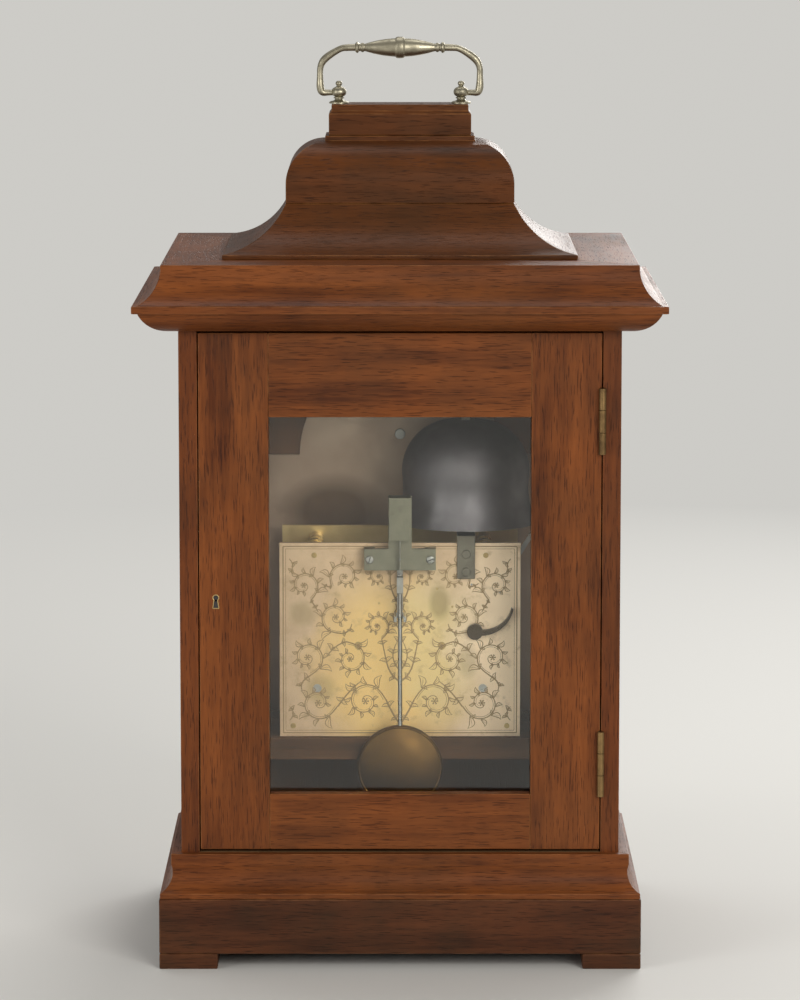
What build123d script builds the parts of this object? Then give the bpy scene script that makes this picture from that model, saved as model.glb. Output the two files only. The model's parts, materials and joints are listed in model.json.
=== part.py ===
# Bell-top bracket clock with two fusee trains, in millimetres
# +Z is up, the dial faces -Y, and the origin is on the table under the middle
import os
from math import atan2, cos, degrees, pi, radians, sin, sqrt

from build123d import *

os.makedirs("parts", exist_ok=True)

# Driving dimensions of the case
body_width = 240.0
body_depth = 190.0
side_thickness = 10.0
body_height = 288.0
foot_height = 8.5
foot_size = 32.0
plinth_height = 39.0
plinth_overhang = 12.0
plinth_board = 22.0
moulding_height = 24.0
moulding_fillet = 5.5
moulding_foot = 11.5
top_board_thickness = 12.0
cornice_height = 36.0
cornice_tip = 24.0
floor_thickness = 12.0

# Driving dimensions of the bell top and its handle
flare_inset = 23.0
crown_inset = 57.0
flare_height = 28.0
crown_height = 36.0
crown_shoulder = 21.5
cap_inset = 80.5
cap_height = 17.0
handle_pivot_height = 6.0
handle_rise = 25.0
handle_half_width = 44.5
handle_rod = 2.0
handle_grip = 6.0
pommel_place = 34.0
pommel_ball = 4.2

# Doors
door_gap = 0.5
hinge_gap = 0.6
back_door_thickness = 14.0
back_stile = 38.0
back_top_rail = 46.0
back_bottom_rail = 31.0
front_door_thickness = 18.0
front_stile = 29.0
front_bottom_rail = 23.0
glass_thickness = 2.0
glass_rebate = 5.0
knuckle_radius = 2.0
pin_radius = 0.9
pin_clearance = 0.06
leaf_thickness = 1.0
leaf_depth = 9.5
leaf_height = 36.0
hinge_inset = 30.0
lock_height = 26.0
bolt_thickness = 3.0
bolt_height = 9.0
bolt_clearance = 0.3
bolt_travel = 4.5

# Dial
dial_width = 170.0
dial_rise = 114.0
dial_arch_radius = 58.0
dial_thickness = 2.0
mask_thickness = 8.0
mask_lap = 2.0
chapter_outer = 76.0
chapter_inner = 53.0
chapter_thickness = 1.4
hour_hand_length = 44.0
minute_hand_length = 67.0

# Movement
plate_width = 135.0
plate_height = 110.0
plate_rise = 51.0
plate_thickness = 3.0
plate_spacing = 64.0
dial_to_plate = 20.5
pillar_radius = 3.8
arbor_radius = 1.3
pivot_radius = 0.6
pivot_clearance = 0.06
end_shake = 0.3
pivot_sink = 0.4
leaf_dedendum = 1.3
seatboard_thickness = 12.0
seatboard_reach = 6.0

# Trains: teeth and modules
great_teeth = 96
great_module = 0.5
centre_pinion = 8
centre_teeth = 84
centre_module = 0.38
third_pinion = 7
third_teeth = 84
third_module = 0.33
escape_pinion = 7
escape_teeth = 36
escape_radius = 11.5
escape_rise = 22.0
pallet_rise = 17.0
strike_great_teeth = 84
pin_pinion = 8
pin_teeth = 60
pin_module = 0.4
gather_pinion = 7
gather_teeth = 56
gather_module = 0.36
warn_pinion = 7
warn_teeth = 48
fly_pinion = 8
motion_teeth = 36
hour_pinion = 6
hour_teeth = 72
hour_module = 0.5
wheel_thickness = 1.5
great_thickness = 2.4
pinion_length = 5.0

# Fusees, barrels, pendulum and bell
fusee_large = 14.0
fusee_small = 6.5
fusee_length = 36.0
fusee_grooves = 12
barrel_radius = 18.0
barrel_length = 35.0
barrel_wall = 1.6
pendulum_space = 14.0
pendulum_length = 117.0
bob_radius = 24.0
bob_thickness = 11.0
rod_radius = 1.2
bell_radius = 40.0
bell_height = 58.0
bell_wall = 2.2
bell_hole = 2.6
bell_flat = 7.0
bell_gap = 4.55
bell_set_in = 19.0
bell_rise = 9.0

# Places worked out from the driving dimensions
half_width = body_width / 2
half_depth = body_depth / 2
plinth_top = plinth_height
moulding_top = plinth_top + moulding_height
floor_top = moulding_top
body_top = moulding_top + body_height
cornice_top = body_top + cornice_height
crown_base = cornice_top + flare_height
crown_top = crown_base + crown_height
cap_top = crown_top + cap_height
case_front = -half_depth + front_door_thickness + door_gap
inner_half = half_width - side_thickness
mask_front = case_front
mask_back = mask_front + mask_thickness
dial_front = mask_back
dial_back = dial_front + dial_thickness
front_plate_front = dial_back + dial_to_plate
front_plate_back = front_plate_front + plate_thickness
back_plate_front = front_plate_back + plate_spacing
back_plate_back = back_plate_front + plate_thickness
dial_centre_z = floor_top + dial_rise
plate_bottom = floor_top + plate_rise
plate_top = plate_bottom + plate_height
pendulum_plane = back_plate_back + pendulum_space
seatboard_rear = back_plate_back + seatboard_reach
bell_rim = plate_top + bell_rise
bell_y = back_plate_front - bell_set_in


def polar(start, distance, angle):
    """The point at a distance and an angle from another, in the plane of the dial."""
    turn = radians(angle)
    return (start[0] + distance * cos(turn), start[1] + distance * sin(turn))


def mesh_distance(wheel, pinion, module):
    return (wheel + pinion) * module / 2


# Arbor places, as (x, z)
fusee_angle = -26.0
pin_wheel_angle = 105.0
gather_wheel_angle = 50.0
warn_wheel_angle = 150.0
fly_angle = 200.0
centre = (0.0, dial_centre_z)
going_fusee_at = polar(centre, mesh_distance(great_teeth, centre_pinion, great_module), fusee_angle)
strike_fusee_at = (-going_fusee_at[0], going_fusee_at[1])
escape = (0.0, centre[1] + escape_rise)
to_third = mesh_distance(centre_teeth, third_pinion, centre_module)
third_to_escape = mesh_distance(third_teeth, escape_pinion, third_module)
third_rise = (to_third ** 2 - third_to_escape ** 2 + escape_rise ** 2) / (2 * escape_rise)
third = (sqrt(to_third ** 2 - third_rise ** 2), centre[1] + third_rise)
pallet = (0.0, escape[1] + pallet_rise)
great_to_pin = mesh_distance(strike_great_teeth, pin_pinion, great_module)
pin_at = polar(strike_fusee_at, great_to_pin, pin_wheel_angle)
gather_at = polar(pin_at, mesh_distance(pin_teeth, gather_pinion, pin_module), gather_wheel_angle)
warn_at = polar(gather_at, mesh_distance(gather_teeth, warn_pinion, gather_module), warn_wheel_angle)
fly_at = polar(warn_at, mesh_distance(warn_teeth, fly_pinion, gather_module), fly_angle)
motion_module = mesh_distance(hour_teeth, hour_pinion, hour_module) / motion_teeth
minute_at = (0.0, centre[1] - mesh_distance(hour_teeth, hour_pinion, hour_module))
barrel_out = 23.1
barrel_drop = 24.2
going_barrel_at = (going_fusee_at[0] + barrel_out, going_fusee_at[1] - barrel_drop)
strike_barrel_at = (-going_barrel_at[0], going_barrel_at[1])
hammer_inset = 11.5
hammer_drop = 28.0
hammer_at = (hammer_inset - plate_width / 2, plate_top - hammer_drop)
corner_pillar_edge = 6.0
pillar_edge = 7.0
pillar_half = plate_width / 2 - 7.5
top_pillar_half = plate_width / 2 - 19.5
pillar_places = [(-pillar_half, plate_bottom + corner_pillar_edge),
                 (pillar_half, plate_bottom + corner_pillar_edge), (0.0, plate_bottom + pillar_edge),
                 (-top_pillar_half, plate_top - pillar_edge), (top_pillar_half, plate_top - pillar_edge)]
low_foot_edge = 5.0
high_foot_edge = 16.0
low_foot_half = plate_width / 2 - 17.5
high_foot_half = plate_width / 2 - 12.5
dial_feet_places = [(-low_foot_half, plate_bottom + low_foot_edge),
                    (low_foot_half, plate_bottom + low_foot_edge),
                    (-high_foot_half, plate_top - high_foot_edge),
                    (high_foot_half, plate_top - high_foot_edge)]

# Planes of the wheels, each the rear face of its wheel
great_plane = back_plate_front - 6.6
great_pinion_plane = great_plane + 1.2
centre_wheel_plane = front_plate_back + 7.0
low_pinion_plane = centre_wheel_plane + 1.6
third_wheel_plane = back_plate_front - 25.5
escape_pinion_plane = third_wheel_plane + 1.7
escape_wheel_plane = back_plate_front - 11.5
gather_wheel_plane = front_plate_back + 23.2
warn_pinion_plane = gather_wheel_plane + 1.8
warn_wheel_plane = back_plate_front - 25.8
fly_pinion_plane = warn_wheel_plane + 1.8
cannon_plane = front_plate_front - 1.2
hour_wheel_plane = cannon_plane - 4.6


def facing(x, y, z):
    """A plane parallel to the dial, seen from the front: X right, Z up, extrusion to the front."""
    return Plane(origin=(x, y, z), x_dir=(1, 0, 0), z_dir=(0, -1, 0))


def block(x_range, y_range, z_range, mode=Mode.ADD):
    """A rectangular block between three pairs of faces."""
    middle = [(low + high) / 2 for low, high in (x_range, y_range, z_range)]
    size = [high - low for low, high in (x_range, y_range, z_range)]
    with Locations(tuple(middle)):
        Box(*size, mode=mode)


def rod(place, back, front, radius, mode=Mode.ADD):
    """A round bar along Y at (x, z), from its rear end to its front end."""
    with BuildSketch(facing(place[0], back, place[1])) as face:
        Circle(radius)
    extrude(face.sketch, amount=back - front, mode=mode)


def outline(*points):
    """A closed straight-sided face in the current sketch."""
    with BuildLine() as edges:
        Polyline(*points, close=True)
    make_face(edges.edges())


def teeth(count, module, phase, root_share=0.27, tip_share=0.11, addendum=0.75, dedendum=1.25):
    """The toothed face of a wheel: straight-flanked teeth, the first one at the phase angle."""
    pitch = 360 / count
    root = module * (count / 2 - dedendum)
    tip = module * (count / 2 + addendum)
    corners = []
    for index in range(count):
        middle = phase + index * pitch
        for radius, share in ((root, -root_share), (tip, -tip_share), (tip, tip_share), (root, root_share)):
            corners.append(polar((0, 0), radius, middle + share * pitch))
    outline(*corners)


def leaves(count, module, phase):
    """The toothed face of a pinion, its leaves slimmer than a wheel's teeth."""
    teeth(count, module, phase, root_share=0.17, tip_share=0.10, addendum=0.55, dedendum=leaf_dedendum)


def wheel(place, plane, count, module, phase, rim, hub, arms=4, thickness=wheel_thickness):
    """A crossed-out wheel: toothed rim, arms and hub."""
    with BuildSketch(facing(place[0], plane, place[1])) as face:
        teeth(count, module, phase)
        Circle(module * count / 2 - rim, mode=Mode.SUBTRACT)
        Circle(hub)
        with PolarLocations(0, arms, start_angle=45):
            with Locations(((module * count / 2 - rim) / 2, 0)):
                Rectangle(module * count / 2 - rim + 0.6, 2.0)
    extrude(face.sketch, amount=thickness)


def pinion(place, plane, count, module, phase, length=pinion_length):
    with BuildSketch(facing(place[0], plane, place[1])) as face:
        leaves(count, module, phase)
    extrude(face.sketch, amount=length)


def arbor(place, radius=arbor_radius):
    """An arbor between the plates with a pivot in each."""
    rod(place, back_plate_front - end_shake, front_plate_back + end_shake, radius)
    rod(place, back_plate_back - pivot_sink, front_plate_front + pivot_sink, pivot_radius)


def pinion_root(count, module):
    """The radius at the foot of a pinion's leaves, which its arbor doesn't pass."""
    return module * (count / 2 - leaf_dedendum)


def gap_phase(angle, count):
    """The phase that points the gap between two teeth at an angle."""
    return angle + 180 / count


def direction(start, end):
    """The angle of the line from one arbor to another, from +X towards +Z."""
    return degrees(atan2(end[1] - start[1], end[0] - start[0]))


def save(part, name):
    """Write a node that is one solid."""
    part.part.label = name
    export_step(part.part, f"parts/{name}.step")


def save_group(pieces, name):
    """Write a node that is several separate pieces."""
    export_step(Compound(label=name, children=[piece.part.solid() for piece in pieces]), f"parts/{name}.step")


def mitred_side(width, depth, profile, side):
    """One mitred length of a moulding round the body; the profile holds (overhang, z) points."""
    along_x = side in ("front", "back")
    reach = (width if along_x else depth) / 2 + 60
    sketch_plane = Plane.YZ if along_x else Plane.XZ
    edge = (depth if along_x else width) / 2
    sign = -1 if side in ("front", "left") else 1
    with BuildSketch(sketch_plane) as face:
        with BuildLine():
            for start, end in zip(profile, profile[1:] + profile[:1]):
                points = [(sign * (edge + overhang), height) for overhang, height, *_ in (start, end)]
                if len(start) == 3:
                    middle = (sign * (edge + start[2][0]), start[2][1])
                    ThreePointArc(points[0], middle, points[1])
                else:
                    Line(*points)
        make_face()
    extrude(face.sketch, amount=reach, both=True)
    for end in (-1, 1):
        corner = (end * width / 2, sign * depth / 2, 0) if along_x else (sign * width / 2, end * depth / 2, 0)
        inward = (-end, sign, 0) if along_x else (sign, -end, 0)
        split(bisect_by=Plane(origin=corner, z_dir=inward), keep=Keep.TOP)


sides = ("front", "back", "left", "right")


def mitred_frame(profile):
    """The four mitred lengths of a moulding round the body."""
    lengths = []
    for side in sides:
        with BuildPart() as length:
            mitred_side(body_width, body_depth, profile, side)
        lengths.append(length)
    return lengths


# Plinth: four boards and a block foot at each corner
plinth_half_width = half_width + plinth_overhang
plinth_half_depth = half_depth + plinth_overhang
plinth_inner = plinth_overhang - plinth_board
plinth = mitred_frame([(plinth_overhang, foot_height), (plinth_overhang, plinth_top),
                       (plinth_inner, plinth_top), (plinth_inner, foot_height)])
for x_side in (-1, 1):
    for y_side in (-1, 1):
        with BuildPart() as foot:
            x_near, x_far = sorted((x_side * plinth_half_width, x_side * (plinth_half_width - foot_size)))
            y_near, y_far = sorted((y_side * plinth_half_depth, y_side * (plinth_half_depth - foot_size)))
            block((x_near, x_far), (y_near, y_far), (0, foot_height))
        plinth.append(foot)
save_group(plinth, "plinth")

# Base moulding: a cavetto under a fillet, planted on the lower edge of the body
cavetto_top = moulding_top - 6.0
base_moulding = mitred_frame([
    (moulding_foot, plinth_top), (moulding_foot, plinth_top + 3.0, (6.8, plinth_top + 7.0)),
    (moulding_fillet, cavetto_top), (moulding_fillet, moulding_top), (0, moulding_top), (0, plinth_top)])
save_group(base_moulding, "base_moulding")

# Case floor and top board
with BuildPart() as case_floor:
    block((-inner_half, inner_half), (case_front, half_depth), (floor_top - floor_thickness, floor_top))
with BuildPart() as top_board:
    block((-half_width, half_width), (-half_depth, half_depth), (body_top, body_top + top_board_thickness))
save_group([case_floor, top_board], "case_boards")

# Hinges: places of the pins as (x, y), and the two heights on each door
door_bottom = moulding_top + 1.0 + door_gap
door_top = body_top - door_gap - 1.0
hinge_heights = (door_bottom + hinge_inset, door_top - hinge_inset - leaf_height)
back_face = half_depth
back_door_inner = back_face - back_door_thickness
back_door_half = inner_half - hinge_gap
back_pin = (-inner_half + hinge_gap / 2, back_face + knuckle_radius + 0.2)
front_pin = (half_width + knuckle_radius + 0.2, case_front - door_gap / 2)
front_door_back = case_front - door_gap
front_face = -half_depth

# Case sides: an arched sound opening, hinge pockets, bolt mortises and a rebate for the fret
sound_width = 62.0
sound_bottom = floor_top + 79.0
sound_spring = sound_bottom + 120.0
sound_y = 6.0
fret_lap = 5.0
fret_thickness = 1.5


def sound_opening(grow, inner, thickness, mode):
    """The arched side opening, cut or filled from a plane X = inner outwards along +X."""
    half = sound_width / 2 + grow
    with BuildSketch(Plane(origin=(inner, sound_y, 0), x_dir=(0, 1, 0), z_dir=(1, 0, 0))) as face:
        with Locations((0, (sound_bottom + sound_spring - grow) / 2)):
            Rectangle(2 * half, sound_spring - sound_bottom + grow)
        with Locations((0, sound_spring)):
            Circle(half)
    extrude(face.sketch, amount=thickness, mode=mode)


def bolt_slot(x_range, y_range, grow, mode):
    """The room of a lock bolt, or the bolt itself where nothing is added round it."""
    middle = lock_middle
    block(x_range, (y_range[0] - grow, y_range[1] + grow),
          (middle - bolt_height / 2 - grow, middle + bolt_height / 2 + grow), mode)


lock_middle = floor_top + 145.0
back_bolt_y = (back_face - 9.0, back_face - 9.0 + bolt_thickness)
front_bolt_y = (mask_front + 2.0, mask_front + 2.0 + bolt_thickness)
mortise_depth = bolt_travel + 1.5
case_sides = []
for x_side in (-1, 1):
    with BuildPart() as side_board:
        near, far = sorted((x_side * inner_half, x_side * half_width))
        block((near, far), (case_front, back_face), (plinth_top, body_top))
        sound_opening(0, near - 1, side_thickness + 2, Mode.SUBTRACT)
        rebate = near - 1 if x_side > 0 else far - fret_thickness
        sound_opening(fret_lap, rebate, fret_thickness + 1, Mode.SUBTRACT)
        if x_side < 0:
            for height in hinge_heights:
                block((-inner_half - leaf_thickness, -inner_half + 1),
                      (back_face - leaf_depth, back_face + 1), (height, height + leaf_height), Mode.SUBTRACT)
            bolt_slot((-inner_half - mortise_depth, -inner_half + 1), front_bolt_y,
                      bolt_clearance, Mode.SUBTRACT)
        else:
            for height in hinge_heights:
                block((half_width - leaf_depth, half_width + 1),
                      (case_front - 1, case_front + leaf_thickness),
                      (height, height + leaf_height), Mode.SUBTRACT)
            bolt_slot((inner_half - 1, inner_half + mortise_depth), back_bolt_y,
                      bolt_clearance, Mode.SUBTRACT)
    case_sides.append(side_board)
save_group(case_sides, "case_sides")

# Side frets: pierced brass plates in the rebates
fret_hole = 3.1
fret_pitch = 8.0
fret_clearance = 0.2
fret_margin = 9.0
full_rows, rows = 15, 17
widest_row = 7
side_frets = []
for x_side in (-1, 1):
    with BuildPart() as fret:
        inner = inner_half if x_side > 0 else -inner_half - fret_thickness
        sound_opening(fret_lap - fret_clearance, inner, fret_thickness, Mode.ADD)
        with BuildSketch(Plane(origin=(inner, sound_y, 0), x_dir=(0, 1, 0), z_dir=(1, 0, 0))):
            for row in range(rows):
                count = widest_row - row % 2 if row < full_rows else rows + 2 - row
                with Locations((0, sound_bottom + fret_margin + row * fret_pitch)):
                    with GridLocations(fret_pitch, 1, count, 1):
                        Circle(fret_hole)
        extrude(amount=fret_thickness, mode=Mode.SUBTRACT)
    side_frets.append(fret)
save_group(side_frets, "side_frets")

# Cornice: planted round the top board, its nose standing furthest out
nose = body_top + 15.0
cornice = mitred_frame([
    (0, body_top), (3.0, body_top, (15.0, body_top + 3.5)), (cornice_tip - 3, nose - 4),
    (cornice_tip, nose - 4), (cornice_tip, nose), (cornice_tip - 3, nose, (13.0, nose + 7)),
    (9.0, cornice_top - 3), (9.0, cornice_top), (-flare_inset - 8, cornice_top),
    (-flare_inset - 8, body_top + top_board_thickness), (0, body_top + top_board_thickness)])
save_group(cornice, "cornice")

# Bell top: four concave flare lengths, the crown block and the cap block
flare_lap = 16.0
flare = mitred_frame([
    (-flare_inset, cornice_top), (-flare_inset, cornice_top + 2.5, (-45.5, cornice_top + 12.5)),
    (-crown_inset, crown_base), (-crown_inset - flare_lap, crown_base),
    (-crown_inset - flare_lap, cornice_top)])


def square_dome(half_of, shape):
    """A block whose X and Y sections are one outline, moved in by the same amount."""
    with BuildSketch(Plane.XZ) as face:
        shape(half_width - half_of)
    extrude(face.sketch, amount=half_depth, both=True)
    with BuildSketch(Plane.YZ) as face:
        shape(half_depth - half_of)
    extrude(face.sketch, amount=half_width, both=True, mode=Mode.INTERSECT)


def crown_outline(half):
    """Straight low sides, a quarter round above them, and a short neck under the cap."""
    crown_shaft = crown_base + 11.0
    swell_at, swell_in = crown_base + 25.0, 5.2
    shoulder_start = crown_top - 3.0
    inset = crown_shoulder
    with BuildLine() as edges:
        Line((-half, crown_base), (half, crown_base))
        Line((half, crown_base), (half, crown_shaft))
        ThreePointArc((half, crown_shaft), (half - swell_in, swell_at), (half - inset, shoulder_start))
        Line((half - inset, shoulder_start), (half - inset, crown_top))
        Line((half - inset, crown_top), (-half + inset, crown_top))
        Line((-half + inset, crown_top), (-half + inset, shoulder_start))
        ThreePointArc((-half + inset, shoulder_start), (-half + swell_in, swell_at), (-half, crown_shaft))
        Line((-half, crown_shaft), (-half, crown_base))
    make_face(edges.edges())


def cap_outline(half):
    """Straight sides with a small chamfered step near the top."""
    step_low, step_high, step_in = cap_top - 5.0, cap_top - 3.5, 1.5
    outline((-half, crown_top), (half, crown_top), (half, step_low), (half - step_in, step_high),
            (half - step_in, cap_top), (-half + step_in, cap_top), (-half + step_in, step_high),
            (-half, step_low))


with BuildPart() as crown:
    square_dome(crown_inset, crown_outline)
with BuildPart() as cap:
    square_dome(cap_inset, cap_outline)
save_group(flare + [crown, cap], "bell_top")

# Handle: two turned pommels on the cap, and the bail that swings in them
pivot_z = cap_top + handle_pivot_height
bail_bore = handle_rod - 0.4
pommels = []
for x_side in (-1, 1):
    with BuildPart() as pommel:
        with BuildSketch(Plane.XZ.move(Location((x_side * pommel_place, 0, 0)))):
            with BuildLine():
                Polyline((0, cap_top), (5.5, cap_top), (5.5, cap_top + 1.2), (2.6, pivot_z - 3.4))
                ThreePointArc((2.6, pivot_z - 3.4), (pommel_ball, pivot_z), (1.6, pivot_z + 4.0))
                Polyline((1.6, pivot_z + 4.0), (1.6, pivot_z + 5.4), (0, pivot_z + 6.4), (0, cap_top))
            make_face()
        revolve(axis=Axis((x_side * pommel_place, 0, 0), (0, 0, 1)))
        with BuildSketch(Plane(origin=(x_side * pommel_place, 0, pivot_z), z_dir=(x_side, 0, 0))):
            Circle(bail_bore + pin_clearance)
        extrude(amount=pommel_ball + 2, mode=Mode.SUBTRACT)
        with BuildSketch(Plane(origin=(x_side * pommel_place, 0, pivot_z), z_dir=(-x_side, 0, 0))):
            Circle(bail_bore + pin_clearance)
        extrude(amount=1.5, mode=Mode.SUBTRACT)
    pommels.append(pommel)
save_group(pommels, "handle_pommels")

with BuildPart() as bail:
    top = pivot_z + handle_rise
    knee = (handle_half_width, pivot_z)
    leg_start = pommel_place + 6.0
    corner_drop, corner_run = 10.0, 13.0
    grip_half = 24.0
    with BuildLine() as bail_path:
        FilletPolyline((-leg_start, 0, pivot_z), (-knee[0], 0, knee[1]),
                       (-handle_half_width, 0, top - corner_drop), (-handle_half_width + corner_run, 0, top),
                       (handle_half_width - corner_run, 0, top), (handle_half_width, 0, top - corner_drop),
                       (knee[0], 0, knee[1]), (leg_start, 0, pivot_z),
                       radius=[3.0, 6.0, 6.0, 6.0, 6.0, 3.0])
    with BuildSketch(Plane(origin=(-leg_start, 0, pivot_z), z_dir=(-1, 0, 0))):
        Circle(handle_rod)
    sweep()
    for x_side in (-1, 1):
        with BuildSketch(Plane(origin=(x_side * leg_start, 0, pivot_z), z_dir=(-x_side, 0, 0))):
            Circle(bail_bore)
        extrude(amount=7.2)
    with BuildSketch(Plane.XZ):
        with BuildLine():
            Line((-grip_half, top), (grip_half, top))
            ThreePointArc((grip_half, top), (0, top + handle_grip), (-grip_half, top))
        make_face()
    revolve(axis=Axis((0, 0, top), (1, 0, 0)))
save(bail, "handle_bail")

# Dial mask: a board between the sides with an arched opening for the dial
dial_half = dial_width / 2
dial_bottom = dial_centre_z - dial_half
dial_top = dial_centre_z + dial_half


def arched(half, bottom, spring, arch):
    """A rectangle with a narrower round arch on top, in a plane parallel to the dial."""
    with Locations((0, (bottom + spring) / 2)):
        Rectangle(2 * half, spring - bottom)
    with Locations((0, spring - 0.5)):
        Circle(arch)


with BuildPart() as dial_mask:
    with BuildSketch(facing(0, mask_back, 0)):
        with Locations((0, (floor_top + body_top) / 2)):
            Rectangle(2 * inner_half, body_top - floor_top)
    extrude(amount=mask_thickness)
    with BuildSketch(facing(0, mask_back, 0)):
        arched(dial_half - mask_lap, dial_bottom + mask_lap, dial_top - mask_lap, dial_arch_radius - mask_lap)
    extrude(amount=mask_thickness, mode=Mode.SUBTRACT)
    bolt_slot((-inner_half - 1, -inner_half + 14), (mask_front - 1, mask_back + 1), 2.0, Mode.SUBTRACT)
save(dial_mask, "dial_mask")

# Front door: two stiles, a bottom rail and an arched head, over the whole front
sight_half = half_width - front_stile
sight_bottom = door_bottom + front_bottom_rail
sight_arch = dial_arch_radius + 3.0
sight_top = dial_top + 3.0
glass_place = front_face + 7.0


def door_member(x_range, z_range, back, thickness):
    with BuildSketch(facing(0, back, 0)) as face:
        with Locations(((x_range[0] + x_range[1]) / 2, (z_range[0] + z_range[1]) / 2)):
            Rectangle(x_range[1] - x_range[0], z_range[1] - z_range[0])
    extrude(face.sketch, amount=thickness)


def front_sight(grow, back, thickness, mode=Mode.SUBTRACT):
    """The arched opening of the front door, or a slab of that outline."""
    with BuildSketch(facing(0, back, 0)) as face:
        arched(sight_half + grow, sight_bottom - grow, sight_top + grow, sight_arch + grow)
    extrude(face.sketch, amount=thickness, mode=mode)


front_members = {
    "left": ((-half_width, -sight_half), (door_bottom, door_top)),
    "right": ((sight_half, half_width), (door_bottom, door_top)),
    "bottom": ((-sight_half, sight_half), (door_bottom, sight_bottom)),
    "head": ((-sight_half, sight_half), (sight_top, door_top)),
}
lock_case = 17.0
front_door_frame = []
for place, (x_range, z_range) in front_members.items():
    with BuildPart() as member:
        door_member(x_range, z_range, front_door_back, front_door_thickness)
        front_sight(0, front_door_back, front_door_thickness)
        front_sight(glass_rebate, front_door_back, front_door_thickness - 7.0)
        if place == "right":
            for height in hinge_heights:
                block((half_width - leaf_depth, half_width + 1),
                      (front_door_back - leaf_thickness, front_door_back + 1),
                      (height, height + leaf_height), Mode.SUBTRACT)
        if place == "left":
            block((-inner_half, -inner_half + lock_case), (front_door_back - 8, front_door_back + 1),
                  (lock_middle - lock_height / 2, lock_middle + lock_height / 2), Mode.SUBTRACT)
    front_door_frame.append(member)
save_group(front_door_frame, "front_door_frame")

with BuildPart() as front_glass:
    front_sight(glass_rebate - 0.4, glass_place + glass_thickness, glass_thickness, Mode.ADD)
save(front_glass, "front_door_glass")

# Sight ring: a brass bead in the corner of the front opening
with BuildPart() as sight_ring:
    front_sight(0, glass_place, 3.5, Mode.ADD)
    front_sight(-3.0, glass_place, 3.5)
    outer_edges = sight_ring.edges().filter_by_position(Axis.Y, glass_place - 3.6, glass_place - 3.4)
    chamfer(outer_edges, 0.8)
save(sight_ring, "front_door_sight_ring")

# Back door: two full-height stiles, two rails between them, glass in a rebate
back_window_half = back_door_half - back_stile
back_window = (door_bottom + back_bottom_rail, door_top - back_top_rail)
back_members = {
    "left": ((-back_door_half, -back_window_half), (door_bottom, door_top)),
    "right": ((back_window_half, back_door_half), (door_bottom, door_top)),
    "bottom": ((-back_window_half, back_window_half), (door_bottom, back_window[0])),
    "top": ((-back_window_half, back_window_half), (back_window[1], door_top)),
}
back_door_frame = []
for place, (x_range, z_range) in back_members.items():
    with BuildPart() as member:
        door_member(x_range, z_range, back_face, back_door_thickness)
        block((-back_window_half - glass_rebate, back_window_half + glass_rebate),
              (back_door_inner - 1, back_door_inner + 6),
              (back_window[0] - glass_rebate, back_window[1] + glass_rebate), Mode.SUBTRACT)
        if place == "left":
            for height in hinge_heights:
                block((-back_door_half - 1, -back_door_half + leaf_thickness),
                      (back_face - leaf_depth, back_face + 1), (height, height + leaf_height), Mode.SUBTRACT)
        if place == "right":
            block((back_door_half - lock_case, back_door_half + 1), (back_door_inner - 1, back_face - 4),
                  (lock_middle - lock_height / 2, lock_middle + lock_height / 2), Mode.SUBTRACT)
    back_door_frame.append(member)
save_group(back_door_frame, "back_door_frame")

with BuildPart() as back_glass:
    reach = back_window_half + glass_rebate - 0.4
    block((-reach, reach), (back_door_inner + 6 - glass_thickness, back_door_inner + 6),
          (back_window[0] - glass_rebate + 0.4, back_window[1] + glass_rebate - 0.4))
save(back_glass, "back_door_glass")

# Hinges: case leaves with their pins, and door leaves on the doors
knuckle_third = leaf_height / 3
knuckle_space = 0.25


def knuckle(pin, low, high, bore, mode=Mode.ADD):
    with BuildSketch(Plane(origin=(*pin, low), z_dir=(0, 0, 1))) as face:
        Circle(bore)
    extrude(face.sketch, amount=high - low, mode=mode)


def butt_leaf(pin, plate_x, plate_y, tab_x, tab_y, base, on_case):
    """One leaf: a flat plate, and knuckles round the pin joined to it by tabs."""
    top = base + leaf_height
    block(plate_x, plate_y, (base, top))
    if on_case:
        spans = [(base, base + knuckle_third - knuckle_space), (top - knuckle_third + knuckle_space, top)]
    else:
        spans = [(base + knuckle_third, top - knuckle_third)]
    for low, high in spans:
        block(tab_x, tab_y, (low, high))
        knuckle(pin, low, high, knuckle_radius)
    if on_case:
        knuckle(pin, base, top, pin_radius)
    else:
        knuckle(pin, base, top, pin_radius + pin_clearance, Mode.SUBTRACT)


case_leaves = []
back_leaves = []
front_leaves = []
for base in hinge_heights:
    plate_y = (back_face - leaf_depth, back_face)
    tab_y = (back_face, back_pin[1])
    case_x = (-inner_half - leaf_thickness, -inner_half)
    door_x = (-back_door_half, -back_door_half + leaf_thickness)
    with BuildPart() as case_leaf:
        butt_leaf(back_pin, case_x, plate_y, case_x, tab_y, base, True)
    case_leaves.append(case_leaf)
    with BuildPart() as door_leaf:
        butt_leaf(back_pin, door_x, plate_y, door_x, tab_y, base, False)
    back_leaves.append(door_leaf)
    plate_x = (half_width - leaf_depth, half_width)
    tab_x = (half_width, front_pin[0])
    case_y = (case_front, case_front + leaf_thickness)
    door_y = (front_door_back - leaf_thickness, front_door_back)
    with BuildPart() as case_leaf:
        butt_leaf(front_pin, plate_x, case_y, tab_x, case_y, base, True)
    case_leaves.append(case_leaf)
    with BuildPart() as door_leaf:
        butt_leaf(front_pin, plate_x, door_y, tab_x, door_y, base, False)
    front_leaves.append(door_leaf)
save_group(case_leaves, "case_hinge_leaves")
save_group(back_leaves, "back_door_hinge_leaves")
save_group(front_leaves, "front_door_hinge_leaves")

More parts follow.
